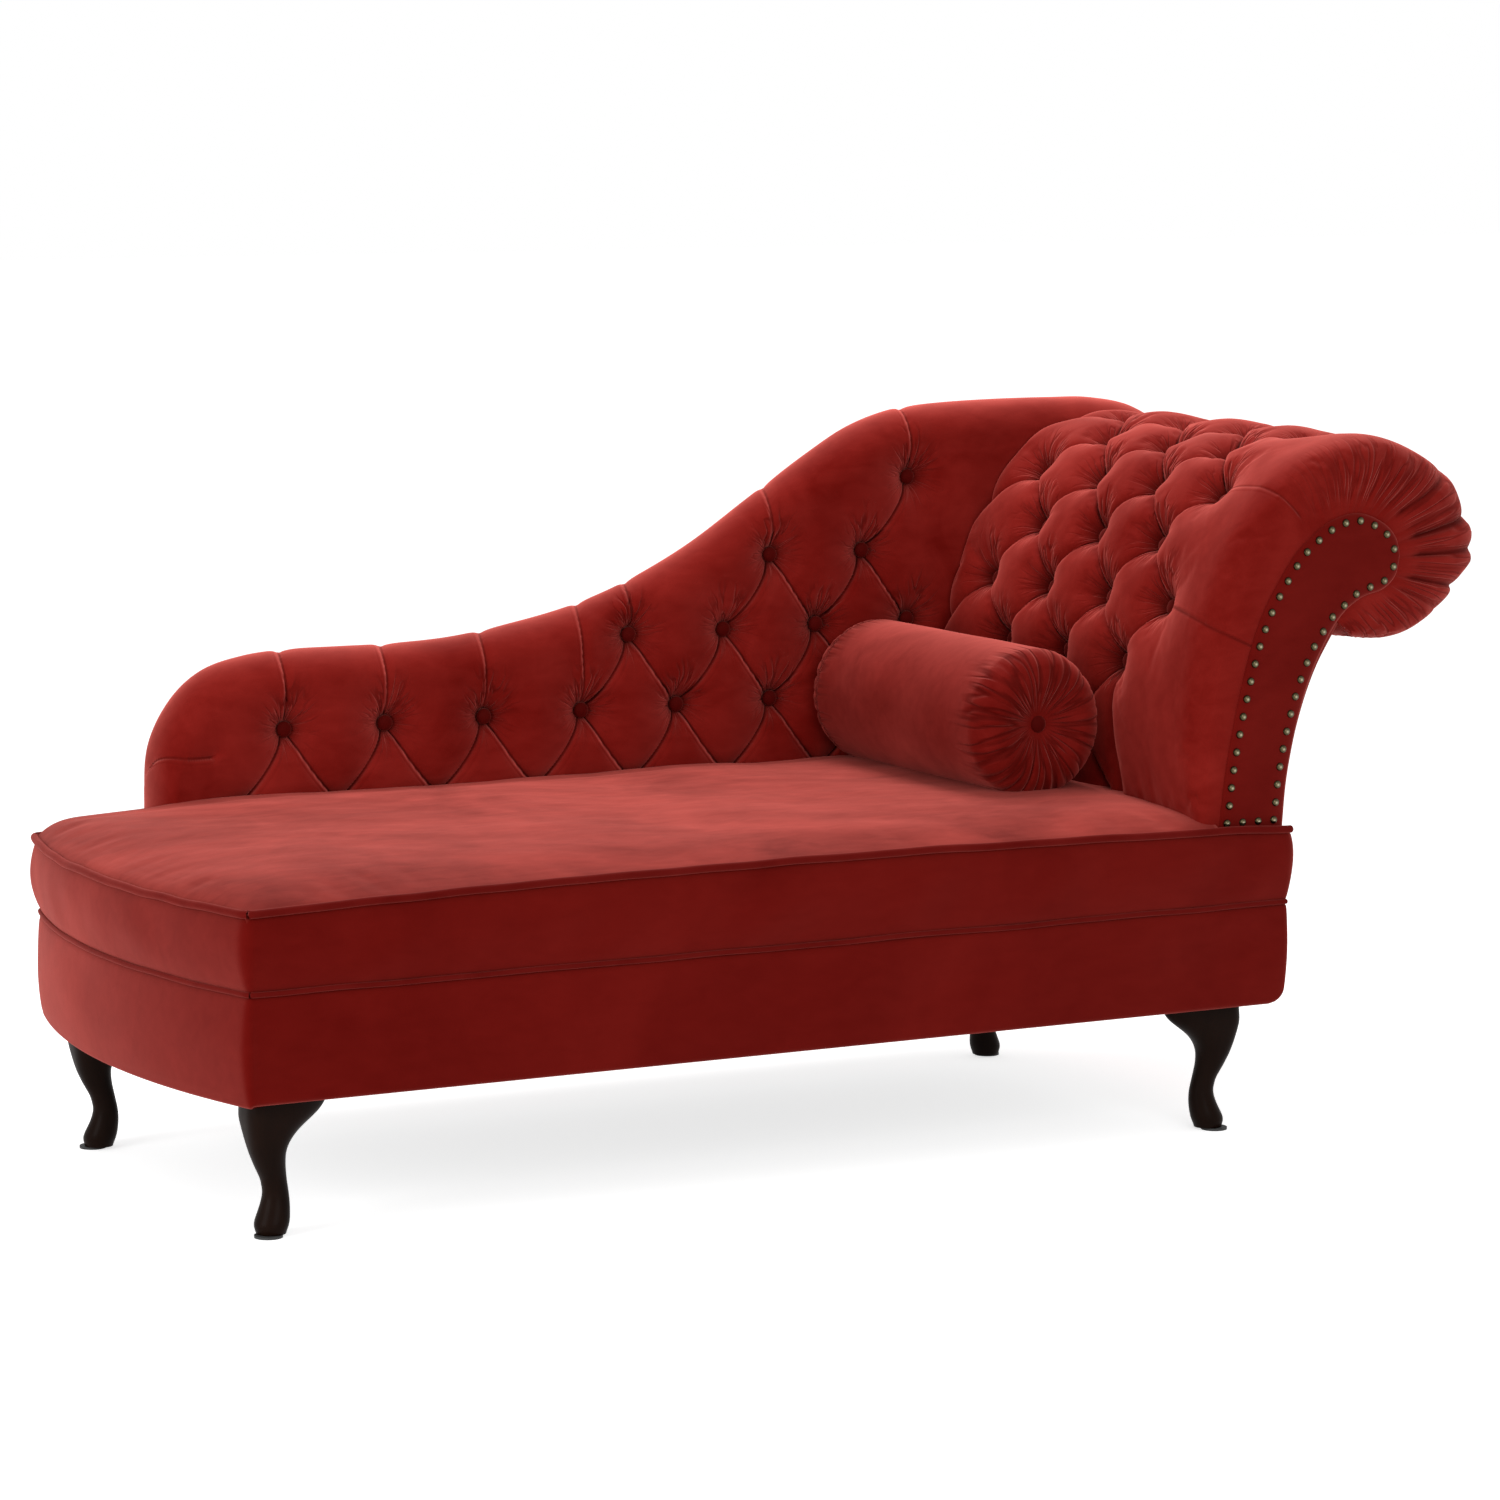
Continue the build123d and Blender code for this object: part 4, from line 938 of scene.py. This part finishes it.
def arm_surface(rear_count=13, back_count=190, end_count=46, core_count=8, rear_round=26.0):
    """Rolled arm: the roll's outline carried from the rear to the front, where it turns in on a quarter
    ellipse to the facing's edge and is gathered into folds; then it goes back along the hidden core. The
    buttons and pleats are laid out on the distance along the outline and the depth y."""
    gap = np.linalg.norm(roll_line - facing_line, axis=1)
    run_in = np.clip(gap * 0.95, 24, 118)
    end_start = FACING_Y + 4 + run_in
    rear = np.linspace(0, 1, rear_count + 1)[None, :-1]
    rear_y = ARM_REAR - rear_round * (1 - np.cos(rear * np.pi / 2))
    rear_in = 16 * (1 - np.sin(rear * np.pi / 2))
    forward = np.linspace(0, 1, back_count)[None, :]
    y_body = (ARM_REAR - rear_round) + forward * (end_start[:, None] - ARM_REAR + rear_round)
    y = np.concatenate([rear_y + 0 * gap[:, None], y_body], 1)
    drawn = np.concatenate([rear_in + 0 * gap[:, None], 0 * y_body], 1)
    w = np.linspace(0, 1, end_count)[None, 1:]
    ease = np.cos(w * np.pi / 2) ** 0.6
    section = facing_line[:, None, :] + (roll_line - facing_line)[:, None, :] * ease[..., None]
    end_y = end_start[:, None] - run_in[:, None] * np.sin(w * np.pi / 2) ** 0.6
    turned = np.concatenate([end_start[:, None, None], end_y[..., None]], 1)
    turned = np.concatenate([turned, np.concatenate([roll_line[:, None, :], section], 1)], -1)
    unrolled = end_start[:, None] - np.cumsum(np.linalg.norm(np.diff(turned, axis=1), axis=-1), 1)
    cloth_y = np.concatenate([y, unrolled], 1)
    cloth_run = roll_run[:, None] + 0 * cloth_y
    depth, marks = tufting(cloth_run, cloth_y, arm_buttons, arm_pleats, button_depth=38.0, pleat_depth=24.0,
                           uphill_turn=0.0, seed=31)
    body_count = y.shape[1]
    relief, end_relief = depth[:, :body_count], depth[:, body_count:]
    near_end = smooth_step(0, 60, y - end_start[:, None])
    soft = drift(roll_run[:, None], y, 170, 33) * 1.6
    lift = -drawn - relief * (0.35 + 0.65 * near_end) + (soft + 3) * near_end
    body = at_depth(roll_line[:, None] + roll_out[:, None] * lift[..., None], y)
    gather_run, gather_depth, gather_start, slant = GATHERS.T[:, None, None, :]
    apart = roll_run[:, None, None] - gather_run - slant * (1 - ease[..., None])
    fall = np.exp(-np.abs(apart) / np.where(apart > 0, 7.0, 19.0)) * gather_depth
    fall = fall * smooth_step(gather_start, gather_start + 0.3, w[..., None])
    crease = (fall**3).sum(-1) ** (1 / 3) * (1 - 0.75 * smooth_step(0.93, 1.0, w))
    crease = crease * (0.4 + 0.6 * smooth_step(0.05, 0.55, w))
    inward = crease - 3 * smooth_step(560, 760, roll_run)[:, None] * np.sin(np.pi * w) ** 0.7
    inward = inward + 0.35 * end_relief * (1 - smooth_step(0.8, 1.0, w))
    tip = (facing_line - roll_line) / gap[:, None]
    drawn_in = tip[:, None] * inward[..., None] * np.cos(w * np.pi / 2)[..., None]
    end = at_depth(section + drawn_in, end_y + inward * np.sin(w * np.pi / 2))
    core_y = np.linspace(FACING_Y + 6, ARM_REAR, core_count)[None, :]
    core = at_depth((facing_line - side_of(facing_line) * 4)[:, None], core_y)
    pulled = smooth_step(420, 640, roll_run)[:, None] * smooth_step(0.05, 0.6, w)
    pulled = pulled * (1 - smooth_step(0.9, 1.0, w))
    marks["gather"][:, body_count:] = np.stack(np.broadcast_arrays(roll_run[:, None] / 17, 1.2 * w, 3.0), -1)
    marks["draw"][:, :body_count] *= near_end
    marks["draw"][:, body_count:] = 0.6 * pulled
    # Painted shade: darker colour in the button pits and in the gathered creases of the roll's end.
    in_pits = smooth_step(12, 42, relief) * near_end
    marks["fold"] = 0.8 * np.concatenate([in_pits, smooth_step(2, 12, crease)], 1)
    for label, values in marks.items():
        bare = np.zeros((len(roll_line), core_count, *values.shape[2:]))
        marks[label] = np.concatenate([values, bare], 1)
    return np.concatenate([body, end, core], 1), marks


def on_roll(run):
    """The point and outward direction, in (x, z), at a distance along the roll from the seat."""
    spot = np.array([np.interp(run, roll_run, roll_line[:, k]) for k in (0, 1)])
    out = np.array([np.interp(run, roll_run, roll_out[:, k]) for k in (0, 1)])
    return spot, out / np.linalg.norm(out)


arm_points, arm_marks = arm_surface()
arm_held = held_points(arm_marks["fold"], first_columns=6, last_columns=24, end_rows=10)
arm_points = blow_out(arm_points, arm_held, stride=3, cap=8.0)
arm = tube_piece("rolled_arm", arm_points, velvet_tuft, marks=arm_marks)
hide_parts("arm_pad")

arm_seats = []
arm_ways = []
for run, y in arm_buttons:
    spot, out = on_roll(run)
    sunk = spot - out * ARM_BUTTON_SUNK
    arm_seats.append((sunk[0], y, sunk[1]))
    arm_ways.append((out[0], 0, out[1]))
arm_caps = covered_buttons("arm_button_caps", arm_seats, arm_ways, radius=11.0, height=6.0, shade=0.35)
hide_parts("arm_buttons")


def facing_surface(count=150, wide=30, hook_from=9, hook_tip=11):
    """Scroll facing: a strip between the inner and outer edges of the scroll that closes at the hook's tip,
    lightly padded, with rounded edges, and flat behind."""
    inner = FACING[:hook_tip]
    outer = np.vstack([FACING_OUTER[::-1], FACING[:hook_from:-1]])
    a = even_line(inner, count)
    b = even_line(outer, count)
    s = np.linspace(0, 1, wide)[None, :, None]
    flat = a[:, None] * (1 - s) + b[:, None] * s
    across = np.linalg.norm(b - a, axis=1)[:, None]
    to_edge = np.minimum(s[..., 0], 1 - s[..., 0]) * across
    puff = 3.0 * (1 - np.exp(-to_edge / 7)) - 1.0
    return at_depth(flat, FACING_Y + 1 - puff), at_depth(flat, FACING_Y + 12)


facing = slab_piece("scroll_facing", *facing_surface(), velvet_panel)
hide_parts("arm_facing")


def nail_places(pitch=23.1, inside=9.5, inside_outer=15.0, foot_height=16.0, foot_count=4):
    """Centres of the nailheads: at an even pitch along the facing's edge, set in from it, and along its
    foot."""
    inner = even_line(FACING, 1500)
    outer = np.vstack([FACING[-1:], FACING_OUTER])
    edge = np.vstack([inner, line_at(outer, np.linspace(0, len(outer) - 1, 500))[1:]])
    margin = inside + (inside_outer - inside) * smooth_step(0.72, 0.8, np.linspace(0, 1, len(edge)))
    line = edge - side_of(edge) * margin[:, None]
    foot_z = ARM_BASE + foot_height
    line = line[line[:, 1] > foot_z + 1]
    line = np.vstack([[line[0, 0] - 1, foot_z], line, [line[-1, 0] - 1, foot_z]])
    run = np.concatenate([[0], np.cumsum(np.linalg.norm(np.diff(line, axis=0), axis=1))])
    marks = np.linspace(0, run[-1], round(run[-1] / pitch) + 1)
    spots = np.stack([np.interp(marks, run, line[:, k]) for k in (0, 1)], -1)
    return np.vstack([spots, np.linspace(spots[0], spots[-1], foot_count)[1:-1]])


nail_spots = nail_places()
nail_ways = [(0, -1, 0)] * len(nail_spots)
nail_rings = 7
nail_centres = at_depth(nail_spots, FACING_Y - 0.6)
nail_points, nail_faces = domes(nail_centres, nail_ways, radius=5.3, height=3.4, sides=16, rings=nail_rings)
nail_crown = np.broadcast_to(np.linspace(0, 1, nail_rings)[None, :, None], nail_points.shape[:3]).ravel()
nails = piece("nail_heads", nail_points, nail_faces, antique_brass, slot="antique_brass",
              marks={"crown": nail_crown})
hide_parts("nailheads")


def outside_arm(count=60, wide=110):
    """Plain outer side of the arm: the facing's outer edge carried from front to rear as a thin panel."""
    line = even_line(np.vstack([FACING[-1:], FACING_OUTER]), count)
    out = side_of(line)
    y = np.linspace(FACING_Y + 8, ARM_REAR + 0.5, wide)[None, :]
    soft = drift(line[:, None, 1], y, 240, 51) * 1.2 + 4.5
    upper = at_depth(line[:, None] + out[:, None] * soft[..., None], y)
    return upper, at_depth((line - out * 5)[:, None], y)


arm_side = slab_piece("arm_outside", *outside_arm(), velvet_panel)
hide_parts("arm_outer_cover")


# Bolster

BOLSTER_X = 344.6
BOLSTER_Z = 517.3
BOLSTER_R = 96.0
BOLSTER_REAR = 298.3
BOLSTER_LENGTH = 462.0
BOLSTER_FRONT = BOLSTER_REAR - BOLSTER_LENGTH
BOLSTER_BUTTON_IN = 14.0


def bolster_surface(around=240, end_count=40, side_count=70, rim=34.0, dish=15.0, rim_from=0.6,
                    fold_count=26):
    """Bolster: a cylinder whose ends dish in towards a button, with the cover gathered into folds that run
    from the button to the rim and die out along the side."""
    e = np.linspace(0, 1, end_count)[1:]
    flat = BOLSTER_R - rim
    round_turn = (e - rim_from) / (1 - rim_from) * np.pi / 2
    radius_end = np.where(e < rim_from, e / rim_from * flat, flat + rim * np.sin(round_turn))
    depth_end = np.where(e < rim_from, dish * (1 - smooth_step(0.05, 0.62, e)),
                         rim * 0.9 * (1 - np.cos(round_turn)))
    side = np.linspace(0, 1, side_count)[1:-1]
    from_rim = np.minimum(side, 1 - side)
    side_y = rim * 0.9 + side * (BOLSTER_LENGTH - 2 * rim * 0.9)
    radius = np.concatenate([radius_end, np.full(len(side), BOLSTER_R), radius_end[::-1]])
    y = np.concatenate([depth_end, side_y, BOLSTER_LENGTH - depth_end[::-1]])
    reach = np.concatenate([e, 1 + side * 3, e[::-1]])
    fold_fade = np.concatenate([e**0.6, np.maximum(1 - from_rim * 9, 0) ** 2 * 0.5, e[::-1] ** 0.6])
    turn = np.linspace(0, 2 * np.pi, around, endpoint=False)[None, :]
    rng = np.random.default_rng(61)
    steps = np.linspace(0, fold_count, fold_count + 1)
    shift = rng.uniform(-0.4, 0.4, fold_count + 1)
    shift[-1] = shift[0]
    phase = np.interp(turn / (2 * np.pi) * fold_count, steps, steps + shift)
    strong = np.append(rng.uniform(0.3, 1.0, fold_count), 0)
    strong[-1] = strong[0]
    crease = (1 - np.abs(np.sin(np.pi * phase))) ** 2
    crease = crease * np.interp(turn / (2 * np.pi) * fold_count, steps, strong)
    slim = np.interp(reach, [0, 0.25, 0.6, 1.0, 1.3], [0.0, 0.6, 1.0, 0.25, 0.0])[:, None]
    deep = 6.0 * crease * slim * fold_fade[:, None]
    soft = drift(y[:, None], turn * BOLSTER_R + 0 * y[:, None], 160, 63) * 1.2
    soft = soft * smooth_step(40, 120, np.minimum(y, BOLSTER_LENGTH - y))[:, None] * np.sin(turn / 2) ** 2
    rad = radius[:, None] + soft - deep * np.clip(radius / BOLSTER_R, 0, 1)[:, None] * 0.6
    into = np.concatenate([np.ones(len(e)), np.zeros(len(side)), -np.ones(len(e))])[:, None]
    along = y[:, None] + into * deep * 0.8
    points = np.stack([BOLSTER_X + rad * np.cos(turn), BOLSTER_FRONT + along,
                       BOLSTER_Z + rad * np.sin(turn)], -1)
    pulled_end = smooth_step(0.1, 0.35, e)
    pulled = np.concatenate([pulled_end, np.exp(-(from_rim * BOLSTER_LENGTH / 26) ** 1.4), pulled_end[::-1]])
    radial = np.concatenate([e, 1 + from_rim * 2, e[::-1] + 4])
    place = np.stack(np.broadcast_arrays(4.2 * np.cos(turn), 4.2 * np.sin(turn), radial[:, None]), -1)
    # Painted shade in the deeper gathered folds of the ends, from this mark.
    marks = {"fold": 0.8 * smooth_step(1.2, 6.0, deep),
             "draw": 0.8 * pulled[:, None] + np.zeros(deep.shape), "gather": place}
    return points, marks


bolster_points, bolster_marks = bolster_surface()
bolster_held = smooth_step(0.15, 0.4, bolster_marks["fold"])
bolster_points = blow_out(bolster_points, bolster_held, stride=2, cap=3.0)
bolster = tube_piece("bolster_cushion", bolster_points, velvet_bolster, body="bolster", marks=bolster_marks)
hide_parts("bolster")
bolster_seats = [(BOLSTER_X, BOLSTER_FRONT + BOLSTER_BUTTON_IN, BOLSTER_Z),
                 (BOLSTER_X, BOLSTER_REAR - BOLSTER_BUTTON_IN, BOLSTER_Z)]
bolster_caps = covered_buttons("bolster_button_caps", bolster_seats, [(0, -1, 0), (0, 1, 0)], radius=12.0,
                               height=7.0, shade=0.4, body="bolster")
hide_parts("bolster_buttons")


# Legs

def leg_surface(x, y, inward, outward_y, rings=90, around=64, glide=3.0, ear_reach=44.0):
    """Cabriole leg: rings whose centre swings out at the knee, in at the ankle and out at the toe. They are
    circles at the foot and squarer at the knee, and near the top each is drawn out towards the middle of the
    couch into an ear."""
    level = np.linspace(0, 1, rings)
    marks = [0, 0.03, 0.065, 0.115, 0.18, 0.23, 0.29, 0.39, 0.49, 0.58, 0.66, 0.755, 0.85, 1.0]
    radii = [17, 19.5, 21.5, 20.5, 18.4, 17, 15.4, 15.5, 18.5, 21.3, 24, 27, 30.5, 30.0]
    leans = [0.5, 0.5, 0, -2.5, -5.5, -7, -7.7, -4.5, 1.2, 4.8, 5.8, 6.0, 5.0, 3.5]
    kernel = np.exp(-0.5 * (np.arange(-7, 8) / 2.2) ** 2)
    kernel /= kernel.sum()
    radius = np.convolve(np.pad(np.interp(level, marks, radii), 7, mode="edge"), kernel, "valid")[:, None]
    lean = np.convolve(np.pad(np.interp(level, marks, leans), 7, mode="edge"), kernel, "valid")[:, None]
    turn = np.linspace(0, 2 * np.pi, around, endpoint=False)[None, :]
    power = 2 + 1.5 * smooth_step(0.5, 0.95, level)[:, None]
    square = (np.abs(np.cos(turn)) ** power + np.abs(np.sin(turn)) ** power) ** (-1 / power)
    ear = ear_reach * smooth_step(0.56, 0.97, level)[:, None] ** 1.5
    lobe = np.clip(np.cos(turn), 0, 1) ** 3
    px = x - inward * lean + inward * (radius * square * np.cos(turn) + ear * lobe)
    py = y + outward_y * lean * 0.55 + radius * square * np.sin(turn)
    z = glide + level * (LEG_TOP - glide)
    return np.stack([px, py, z[:, None] + 0 * px], -1)


LEG_FOOT_X, LEG_HEAD_X = -802, 504
LEG_FRONT_Y, LEG_BACK_Y = -317, 244
for name, x, y, inward, outward_y in (("leg_front_foot", LEG_FOOT_X, LEG_FRONT_Y, 1, -1),
                                      ("leg_front_head", LEG_HEAD_X, LEG_FRONT_Y, -1, -1),
                                      ("leg_back_foot", LEG_FOOT_X, LEG_BACK_Y, 1, 1),
                                      ("leg_back_head", LEG_HEAD_X, LEG_BACK_Y, -1, 1)):
    leg = tube_piece(name + "_turned", leg_surface(x, y, inward, outward_y), dark_wood, slot="dark_wood")
    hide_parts(name)


# Stage, light and camera

def seen_directly(tree):
    """1 on rays from the camera and on reflected and refracted rays, and 0 on rays that carry soft light."""
    path = add(tree, "LightPath").outputs
    mirror = sum_of(tree, "MAXIMUM", path["Is Glossy Ray"], path["Is Transmission Ray"])
    return sum_of(tree, "MAXIMUM", path["Is Camera Ray"], mirror)


def pale_floor(half=30.0, glow=0.7):
    """A wide pale floor that keeps a soft shadow and is nearly white to the camera."""
    mesh = bpy.data.meshes.new("floor")
    corners = [(-half, -half, 0), (half, -half, 0), (half, half, 0), (-half, half, 0)]
    mesh.from_pydata(corners, [], [(0, 1, 2, 3)])
    floor = new_object("floor", mesh)
    material, tree, shader = bare_material("floor")
    fill(tree, shader, {"Base Color": (0.86, 0.86, 0.86, 1), "Roughness": 0.9, "Specular IOR Level": 0.0})
    seen = sum_of(tree, "MULTIPLY", seen_directly(tree), glow)
    lit = add(tree, "Emission", {"Color": (1, 1, 1, 1), "Strength": seen})
    both = add(tree, "AddShader", {0: shader.outputs[0], 1: lit.outputs[0]})
    fill(tree, tree.nodes["Material Output"], {"Surface": both.outputs[0]})
    mesh.materials.append(material)


def studio_world(strength=0.55):
    """Soft even light from all round, seen as white by the camera and in reflections."""
    world = bpy.data.worlds.new("studio")
    bpy.context.scene.world = world
    world.use_nodes = True
    tree = world.node_tree
    soft = tree.nodes["Background"]
    fill(tree, soft, {"Color": (1, 1, 1, 1), "Strength": strength})
    white = add(tree, "Background", {"Color": (1, 1, 1, 1), "Strength": 1.0})
    mix = add(tree, "MixShader", {0: seen_directly(tree), 1: soft.outputs[0], 2: white.outputs[0]})
    fill(tree, tree.nodes["World Output"], {"Surface": mix.outputs[0]})


def area_light(name, place, target, size, power):
    """A square soft light at place that faces target."""
    lamp = bpy.data.lights.new(name, "AREA")
    lamp.shape = "SQUARE"
    lamp.size = size
    lamp.energy = power
    obj = new_object(name, lamp)
    aim = np.array(target, float) - np.array(place, float)
    flat = math.hypot(aim[0], aim[1])
    obj.location = place
    obj.rotation_euler = (math.atan2(flat, -aim[2]), 0, math.atan2(aim[1], aim[0]) - math.pi / 2)


pale_floor()
studio_world()
area_light("key from the foot", (-2.9, -0.7, 0.95), (-0.6, 0.0, 0.35), size=1.2, power=24)
area_light("top", (0.4, 0.7, 2.8), (0.0, -0.1, 0.4), size=1.1, power=37)
area_light("front fill", (-0.6, -4.5, 2.1), (0.0, 0.0, 0.5), size=2.6, power=56)

camera_data = bpy.data.cameras.new("camera")
camera_data.sensor_width = 36
camera_data.lens = 122.23
camera_data.shift_y = 0.031
camera = new_object("camera", camera_data)
camera.location = (-3.0588, -5.7354, 1.3469)
camera.rotation_euler = (math.radians(90 - 8.055), 0, math.radians(-28.10))
bpy.context.scene.camera = camera
bpy.context.scene.view_settings.view_transform = "Standard"
